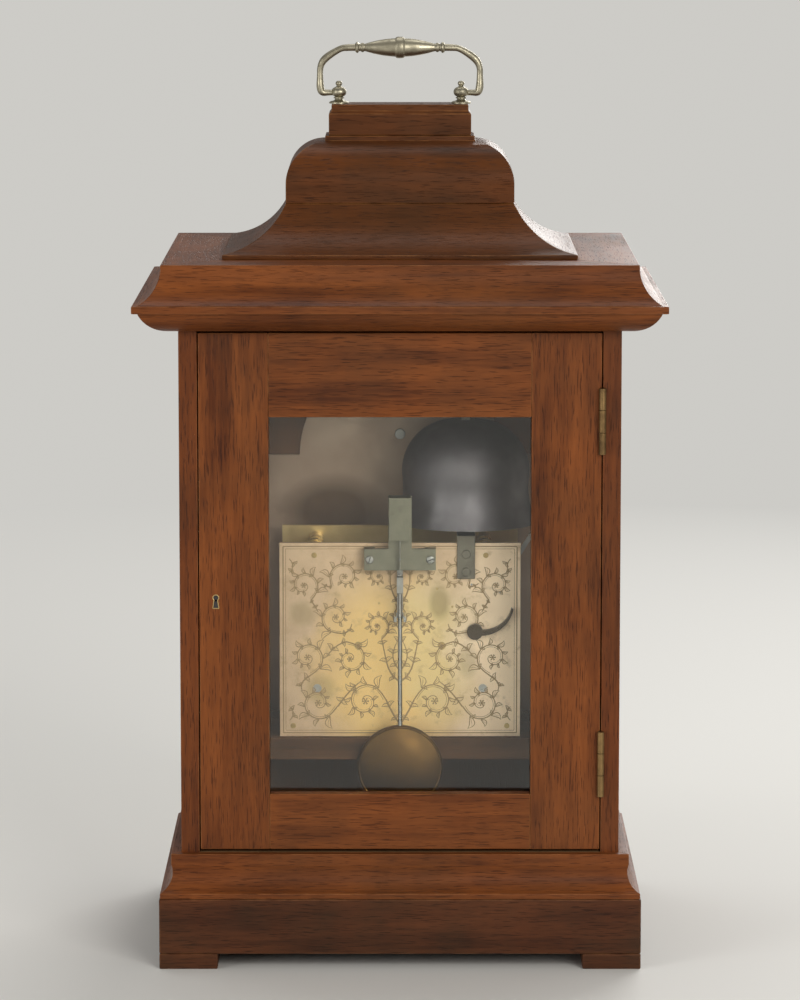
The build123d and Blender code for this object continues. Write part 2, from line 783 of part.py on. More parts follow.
# Locks and bolts: the back door's bolt shoots sideways, the front door's hooks behind the side
lock_z = (lock_middle - lock_height / 2 + 0.3, lock_middle + lock_height / 2 - 0.3)
with BuildPart() as back_lock:
    block((back_door_half - lock_case + 0.3, back_door_half),
          (back_door_inner + 0.5, back_face - 4.3), lock_z)
    bolt_slot((back_door_half - lock_case + 2, back_door_half + 1), back_bolt_y,
              bolt_clearance, Mode.SUBTRACT)
    with BuildSketch(facing(back_door_half - 9, back_face - 4.3, lock_middle - 6)):
        Circle(1.6)
    extrude(amount=3.0, mode=Mode.SUBTRACT)
save(back_lock, "back_door_lock")
bolt_start = back_door_half - lock_case + 2 + 0.5
with BuildPart() as back_bolt:
    bolt_slot((bolt_start, bolt_start + lock_case - 2 - 1.0), back_bolt_y, 0, Mode.ADD)
save(back_bolt, "back_door_bolt")

front_tongue_y = (front_door_back - 6.0, front_bolt_y[1])
with BuildPart() as front_lock:
    block((-inner_half + 0.3, -inner_half + lock_case - 0.3),
          (front_door_back - 7.7, front_door_back), lock_z)
    bolt_slot((-inner_half + 3.0, -inner_half + 13.5), (front_door_back - 6.0, front_door_back + 1),
              bolt_clearance, Mode.SUBTRACT)
save(front_lock, "front_door_lock")
hook_face = -inner_half + 1.0
with BuildPart() as front_bolt:
    bolt_slot((hook_face + 7.0, hook_face + 11.5), front_tongue_y, 0, Mode.ADD)
    bolt_slot((hook_face, hook_face + 11.5), front_bolt_y, 0, Mode.ADD)
save(front_bolt, "front_door_bolt")

# Dial: brass plate with an arch, its four feet, the chapter ring and the spandrels
winding_hole = 5.0
silent_at = (0.0, dial_top + 12.0)
with BuildPart() as dial_plate:
    with BuildSketch(facing(0, dial_back, 0)):
        arched(dial_half, dial_bottom, dial_top, dial_arch_radius)
        with Locations(centre):
            Circle(4.2, mode=Mode.SUBTRACT)
        with Locations(going_fusee_at, strike_fusee_at):
            Circle(winding_hole, mode=Mode.SUBTRACT)
        with Locations(silent_at):
            Circle(1.6, mode=Mode.SUBTRACT)
    extrude(amount=dial_thickness)
dial_feet = []
for place in dial_feet_places:
    with BuildPart() as foot:
        rod(place, front_plate_front, dial_back, 2.4)
        rod(place, front_plate_back + 3.0, front_plate_front, 1.2)
    dial_feet.append(foot)
save_group([dial_plate] + dial_feet, "dial_plate")

with BuildPart() as chapter_ring:
    with BuildSketch(facing(centre[0], dial_front, centre[1])):
        Circle(chapter_outer)
        Circle(chapter_inner, mode=Mode.SUBTRACT)
    extrude(amount=chapter_thickness)
save(chapter_ring, "chapter_ring")

spandrel_margin = 4.0
spandrel_leg = 28.0
spandrel_waist = 8.5
spandrel_thickness = 2.0
arch_spandrel_place = (42.0, dial_top + 6.0)
arch_spandrel_radii = (8.5, 7.5)
spandrels = []
for x_side in (-1, 1):
    for z_side in (-1, 1):
        with BuildPart() as spandrel:
            corner_x = x_side * (dial_half - spandrel_margin)
            corner_z = dial_centre_z + z_side * (dial_half - spandrel_margin)
            along_x = (corner_x - x_side * spandrel_leg, corner_z)
            waist = (corner_x - x_side * spandrel_waist, corner_z - z_side * spandrel_waist)
            along_z = (corner_x, corner_z - z_side * spandrel_leg)
            with BuildSketch(facing(0, dial_front, 0)):
                with BuildLine():
                    Line((corner_x, corner_z), along_x)
                    ThreePointArc(along_x, waist, along_z)
                    Line(along_z, (corner_x, corner_z))
                make_face()
            extrude(amount=spandrel_thickness)
        spandrels.append(spandrel)
for x_side in (-1, 1):
    with BuildPart() as spandrel:
        with BuildSketch(facing(x_side * arch_spandrel_place[0], dial_front, arch_spandrel_place[1])):
            Ellipse(*arch_spandrel_radii)
        extrude(amount=spandrel_thickness)
    spandrels.append(spandrel)
save_group(spandrels, "spandrels")

strike_hand_length = 25.0
with BuildPart() as silent_hand:
    rod(silent_at, dial_back + 1.0, dial_front - 1.0, 1.5)
    rod(silent_at, dial_back + 2.2, dial_back + 1.0, 3.0)
    rod(silent_at, dial_front - 0.3, dial_front - 2.0, 2.8)
    with BuildSketch(facing(0, dial_front - 1.0, 0)):
        silent_tip = silent_at[1] + strike_hand_length
        outline((-1.6, silent_at[1]), (-0.8, silent_tip), (0.8, silent_tip), (1.6, silent_at[1]))
    extrude(amount=1.0)
save(silent_hand, "strike_silent_hand")

# Hands: flat blades that taper, each on its boss
hand_clearance = 1.6
hand_thickness = 1.0
hour_hand_plane = dial_front - chapter_thickness - hand_clearance
minute_hand_plane = hour_hand_plane - 3.0
hour_pipe_outer = 3.6
hour_pipe_bore = 2.65
cannon_outer = 2.55
cannon_bore = arbor_radius + pivot_clearance


def hand(plane, length, tail, boss, bore, spread):
    """A hand that points up: a boss, a waisted blade and a short tail."""
    with BuildSketch(facing(centre[0], plane, centre[1])) as face:
        with BuildLine():
            Polyline((-1.5, -tail), (1.5, -tail), (1.2, 0), (1.2, length * 0.5), (spread, length * 0.62),
                     (1.0, length * 0.76), (0, length), (-1.0, length * 0.76), (-spread, length * 0.62),
                     (-1.2, length * 0.5), (-1.2, 0), close=True)
        make_face()
        Circle(boss)
        Circle(bore, mode=Mode.SUBTRACT)
    extrude(face.sketch, amount=hand_thickness)


with BuildPart() as hour_hand:
    hand(hour_hand_plane, hour_hand_length, 0.5, 5.2, hour_pipe_outer + 0.05, 4.6)
save(hour_hand, "hour_hand")
with BuildPart() as minute_hand:
    hand(minute_hand_plane, minute_hand_length, 13.0, 4.0, cannon_outer + 0.05, 3.0)
save(minute_hand, "minute_hand")

# Motion work in front of the front plate
with BuildPart() as cannon_wheel:
    wheel(centre, cannon_plane, motion_teeth, motion_module, gap_phase(-90, motion_teeth), 2.0, 4.0)
    rod(centre, cannon_plane, minute_hand_plane - 1.4, cannon_outer)
    rod(centre, cannon_plane + 1, minute_hand_plane - 2, cannon_bore, Mode.SUBTRACT)
save(cannon_wheel, "cannon_wheel")
with BuildPart() as minute_wheel:
    wheel(minute_at, cannon_plane, motion_teeth, motion_module, 90, 2.0, 2.6)
    pinion(minute_at, cannon_plane - wheel_thickness, hour_pinion, hour_module, 90, 6.2)
    rod(minute_at, front_plate_front - end_shake, cannon_plane - wheel_thickness - 8.4, 0.85)
    rod(minute_at, front_plate_back - 0.4, front_plate_front - end_shake, 0.55)
    rod(minute_at, cannon_plane - wheel_thickness - 8.4, cannon_plane - wheel_thickness - 10.2, 0.55)
save(minute_wheel, "minute_wheel")
with BuildPart() as hour_wheel:
    wheel(centre, hour_wheel_plane, hour_teeth, hour_module, gap_phase(-90, hour_teeth), 2.4, 5.0)
    rod(centre, hour_wheel_plane, hour_hand_plane - 1.6, hour_pipe_outer)
    rod(centre, hour_wheel_plane + 1, hour_hand_plane - 2, hour_pipe_bore, Mode.SUBTRACT)
save(hour_wheel, "hour_wheel")

# Movement plates: pivot holes, the large hole for the pallet arbor, and pillar holes
through_both = [third, escape, pin_at, gather_at, warn_at, fly_at, hammer_at]
fusee_pivot = 2.2
barrel_pivot = 2.4
winding_square = 3.6
pallet_hole = 5.0


def plate(back, holes):
    with BuildSketch(facing(0, back, 0)) as face:
        with Locations((0, plate_bottom + plate_height / 2)):
            Rectangle(plate_width, plate_height)
        for place, radius in holes:
            with Locations(place):
                Circle(radius, mode=Mode.SUBTRACT)
    extrude(face.sketch, amount=plate_thickness)


common_holes = [(place, pivot_radius + pivot_clearance) for place in through_both]
common_holes += [(place, 1.5) for place in pillar_places]
common_holes += [(place, barrel_pivot) for place in (going_barrel_at, strike_barrel_at)]
with BuildPart() as front_plate:
    front_holes = list(common_holes)
    front_holes += [(place, 3.0 + pivot_clearance) for place in (going_fusee_at, strike_fusee_at)]
    front_holes += [(centre, arbor_radius + pivot_clearance), (pallet, pivot_radius + pivot_clearance),
                    (minute_at, 0.55 + pivot_clearance)]
    front_holes += [(place, 1.3) for place in dial_feet_places]
    plate(front_plate_back, front_holes)
minute_cock_front = cannon_plane - wheel_thickness - 10.2
with BuildPart() as minute_cock:
    foot_z = minute_at[1] - 13.5
    block((-3.5, 3.5), (minute_cock_front + 0.2, front_plate_front), (foot_z - 4, foot_z))
    block((-3.5, 3.5), (minute_cock_front + 0.2, minute_cock_front + 1.8), (foot_z, minute_at[1] + 3))
    rod(minute_at, minute_cock_front + 3, minute_cock_front - 1, 0.55 + pivot_clearance, Mode.SUBTRACT)
save_group([front_plate, minute_cock], "front_plate")
with BuildPart() as back_plate:
    back_holes = list(common_holes)
    back_holes += [(place, fusee_pivot + pivot_clearance) for place in (going_fusee_at, strike_fusee_at)]
    back_holes += [(centre, pivot_radius + pivot_clearance), (pallet, pallet_hole)]
    plate(back_plate_back, back_holes)
save(back_plate, "back_plate")

# Pillars with their riveted rear ends and the pins in front
pillars = []
for place in pillar_places:
    with BuildPart() as pillar:
        rod(place, back_plate_front, front_plate_back, pillar_radius)
        rod(place, back_plate_back + 0.6, back_plate_front, 1.5)
        rod(place, front_plate_back, front_plate_front - 1.0, 1.5)
        with BuildSketch(facing(place[0], (back_plate_front + front_plate_back) / 2 + 7, place[1])):
            Circle(pillar_radius + 1.2)
        extrude(amount=2.5)
        with BuildSketch(facing(place[0], (back_plate_front + front_plate_back) / 2 - 5.5, place[1])):
            Circle(pillar_radius + 1.2)
        extrude(amount=2.5)
    pillars.append(pillar)
save_group(pillars, "plate_pillars")

# Seatboard on its rails, with the bolts that hold the movement
seat_top = plate_bottom
seat_bottom = seat_top - seatboard_thickness
seat_front = mask_back + 14.0
rail_size = 12.0
seat_bolts = [pillar_places[0], pillar_places[1]]
bolt_y = (back_plate_front + front_plate_back) / 2
seat = []
with BuildPart() as seatboard:
    block((-inner_half + 0.5, inner_half - 0.5), (seat_front, seatboard_rear), (seat_bottom, seat_top))
    for place in seat_bolts:
        with BuildSketch(Plane(origin=(place[0], bolt_y, seat_bottom), z_dir=(0, 0, 1))):
            Circle(2.1)
        extrude(amount=seatboard_thickness, mode=Mode.SUBTRACT)
seat.append(seatboard)
for x_side in (-1, 1):
    with BuildPart() as rail:
        near, far = sorted((x_side * inner_half, x_side * (inner_half - rail_size)))
        block((near, far), (seat_front + 4, seatboard_rear), (seat_bottom - rail_size, seat_bottom))
    seat.append(rail)
for place in seat_bolts:
    with BuildPart() as bolt:
        with BuildSketch(Plane(origin=(place[0], bolt_y, seat_bottom - 3), z_dir=(0, 0, 1))):
            RegularPolygon(4.0, 4)
        extrude(amount=3)
        with BuildSketch(Plane(origin=(place[0], bolt_y, seat_bottom), z_dir=(0, 0, 1))):
            Circle(2.0)
        extrude(amount=place[1] - pillar_radius - seat_bottom - 0.1)
    seat.append(bolt)
save_group(seat, "seatboard")

# Fusees: grooved cones on their arbors, with a winding square in front
fusee_back = great_plane - great_thickness - 0.6
square_end = hour_hand_plane + hand_clearance


def fusee(place, name):
    with BuildPart() as cone:
        groove = fusee_length / fusee_grooves
        corners = [(0, fusee_back), (fusee_large + 0.8, fusee_back), (fusee_large + 0.8, fusee_back - 1.2)]
        for index in range(fusee_grooves):
            share = index / fusee_grooves
            radius = fusee_small + (fusee_large - fusee_small) * (1 - share) ** 1.6
            start = fusee_back - 1.2 - groove * index
            corners += [(radius - 0.8, start - groove * 0.4), (radius, start - groove)]
        corners.append((0, corners[-1][1]))
        plane = Plane(origin=(place[0], 0, place[1]), x_dir=(1, 0, 0), z_dir=(0, 0, 1))
        with BuildSketch(plane):
            outline(*corners)
        revolve(axis=Axis((place[0], 0, place[1]), (0, 1, 0)))
        rod(place, back_plate_front - end_shake, front_plate_back + end_shake, 3.0)
        rod(place, back_plate_back - 0.2, back_plate_front - end_shake, fusee_pivot)
        rod(place, front_plate_back + end_shake, front_plate_front - 1.0, 3.0)
        with BuildSketch(facing(place[0], front_plate_front - 1.0, place[1])):
            Rectangle(winding_square, winding_square)
        extrude(amount=front_plate_front - 1.0 - square_end)
    save(cone, name)


fusee(going_fusee_at, "going_fusee")
fusee(strike_fusee_at, "strike_fusee")


def great_wheel(place, count, phase, name):
    """A great wheel, loose on its fusee arbor."""
    with BuildPart() as gear:
        wheel(place, great_plane, count, great_module, phase, 3.0, 6.0, arms=6, thickness=great_thickness)
        rod(place, great_plane + 3.0, great_plane, 4.6)
        rod(place, great_plane + 4, great_plane - 4, 3.0 + pivot_clearance, Mode.SUBTRACT)
    save(gear, name)


great_wheel(going_fusee_at, great_teeth, direction(going_fusee_at, centre), "going_great_wheel")
great_wheel(strike_fusee_at, strike_great_teeth, direction(strike_fusee_at, pin_at), "strike_great_wheel")

# Barrels: drum, cover and the coiled mainspring, turning on a fixed arbor
barrel_back = back_plate_front - 11.0
barrel_arbor_radius = 5.0


def ring(place, back, front, outer, inner):
    with BuildSketch(facing(place[0], back, place[1])) as face:
        Circle(outer)
        Circle(inner, mode=Mode.SUBTRACT)
    extrude(face.sketch, amount=back - front)


def mainspring(place, back, front):
    """A flat spiral of half turns, hooked to the drum at its outer end."""
    strip = 0.5
    growth = 1.1
    half_turns = 16
    start = barrel_arbor_radius + 0.9
    with BuildSketch(facing(place[0], back, place[1])) as face:
        with BuildLine():
            for radius_offset in (0, strip):
                for index in range(half_turns):
                    radius = start + radius_offset + growth / 2 * index
                    shift = growth / 2 if index % 2 else 0
                    CenterArc((shift, 0), radius, 180 * (index % 2), 180)
            for index in (0, half_turns):
                sign = 1 if index % 2 == 0 else -1
                radius = start + growth / 2 * index
                Line((sign * radius, 0), (sign * (radius + strip), 0))
        make_face()
    extrude(face.sketch, amount=back - front)


def barrel(place, name):
    front = barrel_back - barrel_length
    with BuildPart() as drum:
        ring(place, barrel_back, front, barrel_radius, barrel_radius - barrel_wall)
        ring(place, front + barrel_wall, front, barrel_radius - 0.5, 3.0 + pivot_clearance)
    with BuildPart() as cover:
        ring(place, barrel_back, barrel_back - barrel_wall, barrel_radius - barrel_wall,
             3.0 + pivot_clearance)
    with BuildPart() as spring:
        mainspring(place, barrel_back - barrel_wall - 0.5, front + barrel_wall + 0.5)
    save_group([drum, cover, spring], name)


barrel(going_barrel_at, "going_barrel")
barrel(strike_barrel_at, "strike_barrel")
barrel_arbors = []
for place in (going_barrel_at, strike_barrel_at):
    with BuildPart() as barrel_arbor:
        inside = barrel_back - barrel_wall - 0.4
        rod(place, inside, inside - barrel_length + 2 * barrel_wall + 0.8, barrel_arbor_radius)
        rod(place, back_plate_front, front_plate_back, 3.0)
        rod(place, back_plate_back, back_plate_front, barrel_pivot)
        rod(place, front_plate_back, front_plate_front - 5.0, barrel_pivot)
        with BuildSketch(facing(place[0], front_plate_front, place[1])):
            Circle(8.0)
        extrude(amount=1.6)
    barrel_arbors.append(barrel_arbor)
save_group(barrel_arbors, "barrel_arbors")

# Gut lines, straight from each barrel to the large end of its fusee
line_radius = 0.6
line_y = fusee_back - 3.0
gut_lines = []
for fusee_place, barrel_place, hand_side in ((going_fusee_at, going_barrel_at, -1),
                                             (strike_fusee_at, strike_barrel_at, 1)):
    with BuildPart() as line:
        run = direction(barrel_place, fusee_place)
        spread = hand_side * 90
        start = polar(barrel_place, barrel_radius + line_radius + 0.1, run + spread)
        end = polar(fusee_place, fusee_large + line_radius + 0.9, run + spread)
        along = Vector(end[0] - start[0], 0, end[1] - start[1])
        with BuildSketch(Plane(origin=(start[0], line_y, start[1]), z_dir=along)):
            Circle(line_radius)
        extrude(amount=along.length)
    gut_lines.append(line)
save_group(gut_lines, "gut_lines")

# Going train
with BuildPart() as centre_wheel:
    wheel(centre, centre_wheel_plane, centre_teeth, centre_module, direction(centre, third), 2.2, 3.0)
    pinion(centre, great_pinion_plane, centre_pinion, great_module,
           gap_phase(direction(centre, going_fusee_at), centre_pinion))
    rod(centre, back_plate_front - end_shake, front_plate_back, arbor_radius)
    rod(centre, back_plate_back - 0.4, back_plate_front - end_shake, pivot_radius)
    rod(centre, front_plate_back, minute_hand_plane - 2.4, arbor_radius)
    rod(centre, minute_hand_plane - 1.6, minute_hand_plane - 2.6, 2.2)
save(centre_wheel, "centre_wheel")
with BuildPart() as third_wheel:
    wheel(third, third_wheel_plane, third_teeth, third_module, direction(third, escape), 2.0, 2.6)
    pinion(third, low_pinion_plane, third_pinion, centre_module,
           gap_phase(direction(third, centre), third_pinion))
    arbor(third, pinion_root(third_pinion, centre_module))
save(third_wheel, "third_wheel")

escape_phase = 90 + 47.5 - 360 / escape_teeth / 4
tooth_tip = 0.12
tooth_root = 0.42
with BuildPart() as escape_wheel:
    with BuildSketch(facing(escape[0], escape_wheel_plane, escape[1])):
        root = escape_radius - 2.4
        points = []
        for index in range(escape_teeth):
            middle = escape_phase + index * 360 / escape_teeth
            for radius, half in ((root, -tooth_root), (escape_radius, -tooth_tip),
                                 (escape_radius, tooth_tip), (root, tooth_root)):
                points.append(polar((0, 0), radius, middle + degrees(half / radius)))
        outline(*points)
        Circle(root - 1.4, mode=Mode.SUBTRACT)
        Circle(2.4)
        with PolarLocations(0, 4):
            with Locations((root / 2, 0)):
                Rectangle(root - 0.6, 1.4)
    extrude(amount=wheel_thickness)
    pinion(escape, escape_pinion_plane, escape_pinion, third_module,
           gap_phase(direction(escape, third), escape_pinion))
    arbor(escape, pinion_root(escape_pinion, third_module))
save(escape_wheel, "escape_wheel")

# Pallets: anchor, arbor and the crutch behind the back plate, with its fork round the rod
pallet_half_angle = 47.5
pallet_reach = 12.62
pallet_width = 0.5
crutch_plane = back_plate_back + 3.6
crutch_drop = 34.0
cock_plane = back_plate_back + 10.0
with BuildPart() as pallets:
    with BuildSketch(facing(pallet[0], escape_wheel_plane + 0.2, pallet[1])):
        drop = escape[1] - pallet[1]
        for x_side in (-1, 1):
            tip_x = x_side * (escape_radius + 0.1) * sin(radians(pallet_half_angle))
            tip_z = drop + (escape_radius + 0.1) * cos(radians(pallet_half_angle))
            out = Vector(x_side * sin(radians(pallet_half_angle)), cos(radians(pallet_half_angle)))
            across = Vector(-out.Y, out.X) * (pallet_width / 2)
            tip = Vector(tip_x, tip_z)
            knee = tip + out * 3.2
            outline((tip - across), (tip + across),
                    (knee + across * 3.0), (knee - across * 3.0))
            arm = Vector(knee.X, knee.Y)
            side_step = Vector(-arm.Y, arm.X).normalized() * 1.1
            outline(arm - side_step, arm + side_step,
                    (side_step.X, side_step.Y), (-side_step.X, -side_step.Y))
        Circle(2.6)
    extrude(amount=2.0)
    rod(pallet, cock_plane - 3.0, front_plate_back + end_shake, arbor_radius)
    rod(pallet, front_plate_back + end_shake, front_plate_front + 0.4, pivot_radius)
    rod(pallet, cock_plane - 0.6, cock_plane - 3.0, pivot_radius)
    block((-1.6, 1.6), (crutch_plane - 1.2, crutch_plane), (pallet[1] - crutch_drop, pallet[1]))
    rod(pallet, crutch_plane, crutch_plane - 1.2, 3.0)
    fork_z = (pallet[1] - crutch_drop, pallet[1] - crutch_drop + 3.0)
    block((-3.4, 3.4), (crutch_plane - 1.2, crutch_plane), fork_z)
    for x_side in (-1, 1):
        near, far = sorted((x_side * 1.9, x_side * 3.4))
        block((near, far), (crutch_plane - 1.2, pendulum_plane + 3.0), fork_z)
save(pallets, "pallets")

# Back cock: a bridge over the crutch that carries the pallet pivot and the suspension block
cock_foot = 15.0
block_half = 6.0
block_top = pallet[1] + 36.0
spring_top = pallet[1] + 12.0
with BuildPart() as back_cock:
    block((-cock_foot - 5, cock_foot + 5), (cock_plane - 3.0, cock_plane), (pallet[1] - 6, pallet[1] + 6))
    for x_side in (-1, 1):
        near, far = sorted((x_side * (cock_foot - 1), x_side * (cock_foot + 5)))
        block((near, far), (back_plate_back, cock_plane - 3.0), (pallet[1] - 6, pallet[1] + 6))
    block((-6.5, 6.5), (cock_plane - 3.0, cock_plane), (pallet[1] + 6, block_top))
    block((-block_half, block_half), (cock_plane, pendulum_plane + 5.0), (spring_top, block_top))
    block((-0.25, 0.25), (pendulum_plane - 3.2, pendulum_plane + 3.2), (spring_top - 1, spring_top + 6),
          Mode.SUBTRACT)
    rod(pallet, cock_plane + 1, cock_plane - 5, pivot_radius + pivot_clearance, Mode.SUBTRACT)
save(back_cock, "back_cock")

# Suspension spring, pendulum rod, bob and rating nut
spring_bottom = pallet[1] - 9.0
with BuildPart() as suspension:
    block((-0.15, 0.15), (pendulum_plane - 2.8, pendulum_plane + 2.8), (spring_bottom, spring_top + 5))
save(suspension, "suspension_spring")
bob_height = pallet[1] - pendulum_length
rod_end = bob_height - bob_radius - 9.0
with BuildPart() as pendulum_rod:
    block((-1.8, 1.8), (pendulum_plane - 2.8, pendulum_plane + 2.8), (spring_bottom - 9, spring_bottom))
    with BuildSketch(Plane(origin=(0, pendulum_plane, rod_end), z_dir=(0, 0, 1))):
        Circle(rod_radius)
    extrude(amount=spring_bottom - 9 - rod_end)
save(pendulum_rod, "pendulum_rod")
with BuildPart() as bob:
    edge = 2.0
    middle = Plane(origin=(0, pendulum_plane, bob_height), x_dir=(1, 0, 0), z_dir=(0, 0, 1))
    with BuildSketch(middle):
        with BuildLine():
            half = bob_thickness / 2
            Polyline((0, -half), (0, half))
            ThreePointArc((0, half), (bob_radius * 0.6, half * 0.78), (bob_radius, edge / 2))
            Line((bob_radius, edge / 2), (bob_radius, -edge / 2))
            ThreePointArc((bob_radius, -edge / 2), (bob_radius * 0.6, -half * 0.78), (0, -half))
        make_face()
    revolve(axis=Axis((0, pendulum_plane, bob_height), (0, 1, 0)))
    with BuildSketch(Plane(origin=(0, pendulum_plane, bob_height - 40), z_dir=(0, 0, 1))):
        Circle(rod_radius + 0.1)
    extrude(amount=80, mode=Mode.SUBTRACT)
save(bob, "pendulum_bob")
nut_top = bob_height - bob_radius - 0.1
with BuildPart() as rating_nut:
    with BuildSketch(Plane(origin=(0, pendulum_plane, nut_top - 4.0), z_dir=(0, 0, 1))):
        Circle(4.5)
        with PolarLocations(4.5, 16):
            Circle(0.35, mode=Mode.SUBTRACT)
        Circle(rod_radius + 0.1, mode=Mode.SUBTRACT)
    extrude(amount=4.0)
save(rating_nut, "rating_nut")

# Strike train
lift_pins = 8
pin_circle = 9.0
with BuildPart() as pin_wheel:
    wheel(pin_at, centre_wheel_plane, pin_teeth, pin_module, direction(pin_at, gather_at), 2.0, 2.6)
    pinion(pin_at, great_pinion_plane, pin_pinion, great_module,
           gap_phase(direction(pin_at, strike_fusee_at), pin_pinion))
    arbor(pin_at)
    with BuildSketch(facing(pin_at[0], centre_wheel_plane + 3.4, pin_at[1])):
        first_pin = direction(pin_at, hammer_at) + 180 / lift_pins
        with PolarLocations(pin_circle + 0.8, lift_pins, start_angle=first_pin):
            Circle(0.6)
    extrude(amount=3.6)
save(pin_wheel, "pin_wheel")
with BuildPart() as gather_wheel:
    wheel(gather_at, gather_wheel_plane, gather_teeth, gather_module, direction(gather_at, warn_at), 2.0, 2.6)
    pinion(gather_at, low_pinion_plane, gather_pinion, pin_module,
           gap_phase(direction(gather_at, pin_at), gather_pinion))
    arbor(gather_at, pinion_root(gather_pinion, pin_module))
save(gather_wheel, "gathering_wheel")
with BuildPart() as warn_wheel:
    wheel(warn_at, warn_wheel_plane, warn_teeth, gather_module, direction(warn_at, fly_at), 1.8, 2.4)
    pinion(warn_at, warn_pinion_plane, warn_pinion, gather_module,
           gap_phase(direction(warn_at, gather_at), warn_pinion))
    arbor(warn_at, pinion_root(warn_pinion, gather_module))
save(warn_wheel, "warning_wheel")
with BuildPart() as fly:
    pinion(fly_at, fly_pinion_plane, fly_pinion, gather_module,
           gap_phase(direction(fly_at, warn_at), fly_pinion))
    arbor(fly_at, pinion_root(fly_pinion, gather_module))
    block((fly_at[0] - 7.5, fly_at[0] + 7.5), (warn_wheel_plane + 5.8, back_plate_front - 3.0),
          (fly_at[1] - 0.4, fly_at[1] + 0.4))
save(fly, "fly")

# Bell on its stand, clear of the block of the back cock, with its hammer and hammer spring
bell_x = -block_half - sqrt((bell_radius + bell_gap) ** 2 - (cock_plane - bell_y) ** 2)
with BuildPart() as bell:
    with BuildSketch(facing(bell_x, bell_y, 0)):
        with BuildLine():
            top_z = bell_rim + bell_height
            for shrink in (0, bell_wall):
                crown_z = top_z - shrink
                waist = (bell_radius - 4.5 - shrink, bell_rim + bell_height * 0.42)
                run, drop = waist[0] - bell_flat, crown_z - waist[1]
                round_over = (run ** 2 + drop ** 2) / (2 * drop)
                middle = (bell_flat + round_over * sin(pi / 4), crown_z - round_over * (1 - cos(pi / 4)))
                Line((bell_hole, crown_z), (bell_flat, crown_z))
                ThreePointArc((bell_flat, crown_z), middle, waist)
                lip = (bell_radius - 4.0 - shrink, bell_rim + 12.0)
                ThreePointArc(waist, lip, (bell_radius - shrink, bell_rim))
            Line((bell_hole, top_z - bell_wall), (bell_hole, top_z))
            Line((bell_radius - bell_wall, bell_rim), (bell_radius, bell_rim))
        make_face()
    revolve(axis=Axis((bell_x, bell_y, 0), (0, 0, 1)))
save(bell, "bell")
strap_top = plate_top + 4.5
strap_half = 5.0
with BuildPart() as stand:
    block((bell_x - strap_half, bell_x + strap_half), (back_plate_back, back_plate_back + 2.5),
          (plate_top - 20, strap_top))
    block((bell_x - strap_half, bell_x + strap_half), (bell_y - strap_half, back_plate_back),
          (strap_top - 2.5, strap_top))
    with BuildSketch(Plane(origin=(bell_x, bell_y, strap_top), z_dir=(0, 0, 1))):
        Circle(3.2)
    extrude(amount=top_z - bell_wall - strap_top)
    with BuildSketch(Plane(origin=(bell_x, bell_y, strap_top), z_dir=(0, 0, 1))):
        Circle(2.3)
    extrude(amount=top_z + 6 - strap_top)
with BuildPart() as bell_nut:
    with BuildSketch(Plane(origin=(bell_x, bell_y, top_z), z_dir=(0, 0, 1))):
        RegularPolygon(5.0, 6)
        Circle(2.35, mode=Mode.SUBTRACT)
    extrude(amount=3.5)
bell_stand = [stand, bell_nut]
for height in (plate_top - 16, plate_top - 6):
    with BuildPart() as screw:
        rod((bell_x, height), back_plate_back + 4.3, back_plate_back + 2.5, 2.4)
    bell_stand.append(screw)
save_group(bell_stand, "bell_stand")

hammer_plane = bell_y
head_z = bell_rim + 6.0
head_gap = 0.6
with BuildPart() as hammer:
    arbor(hammer_at)
    rod(hammer_at, hammer_plane + 2.0, hammer_plane - 2.0, 2.6)
    head_face = bell_x - bell_radius - head_gap + 0.4
    knee = (head_face - 5.0, head_z)
    lean = Vector(knee[0] - hammer_at[0], knee[1] - hammer_at[1])
    step = Vector(-lean.Y, lean.X).normalized() * 1.2
    with BuildSketch(facing(0, hammer_plane + 1.2, 0)):
        outline((hammer_at[0] - step.X, hammer_at[1] - step.Y),
                (hammer_at[0] + step.X, hammer_at[1] + step.Y),
                (knee[0] + step.X, knee[1] + step.Y), (knee[0] - step.X, knee[1] - step.Y))
    extrude(amount=2.4)
    with BuildSketch(Plane(origin=(head_face, hammer_plane, head_z), z_dir=(-1, 0, 0))):
        Circle(4.5)
    extrude(amount=10.0)
    tail = direction(hammer_at, pin_at)
    to_pin_wheel = Vector(pin_at[0] - hammer_at[0], pin_at[1] - hammer_at[1]).length
    tail_end = polar(hammer_at, to_pin_wheel - pin_circle - 1.8, tail)
    tail_run = Vector(tail_end[0] - hammer_at[0], tail_end[1] - hammer_at[1])
    tail_step = Vector(-tail_run.Y, tail_run.X).normalized() * 1.3
    tail_plane = centre_wheel_plane + 3.0
    with BuildSketch(facing(0, tail_plane, 0)):
        outline((hammer_at[0] - tail_step.X, hammer_at[1] - tail_step.Y),
                (hammer_at[0] + tail_step.X, hammer_at[1] + tail_step.Y),
                (tail_end[0] + tail_step.X * 0.5, tail_end[1] + tail_step.Y * 0.5),
                (tail_end[0] - tail_step.X * 0.5, tail_end[1] - tail_step.Y * 0.5))
    extrude(amount=2.0)
save(hammer, "bell_hammer")

with BuildPart() as hammer_spring:
    spring_plane = back_plate_back + 4.0
    with BuildSketch(facing(24.5 - plate_width / 2, spring_plane, plate_top - 50.2)):
        with BuildLine():
            ThreePointArc((0, -1.8), (-15.0, 3.2), (-20.5, 13.2))
            Line((-20.5, 13.2), (-19.3, 13.8))
            ThreePointArc((-19.3, 13.8), (-14.2, 5.2), (0, 1.7))
            Line((0, 1.7), (0, -1.8))
        make_face()
        with Locations((1.0, 0.2)):
            Circle(4.4)
    extrude(amount=4.0)
save(hammer_spring, "hammer_spring")
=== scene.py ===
# Looks of the bell-top bracket clock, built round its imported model, in metres
import json
from math import atan2, cos, hypot, pi, radians, sin

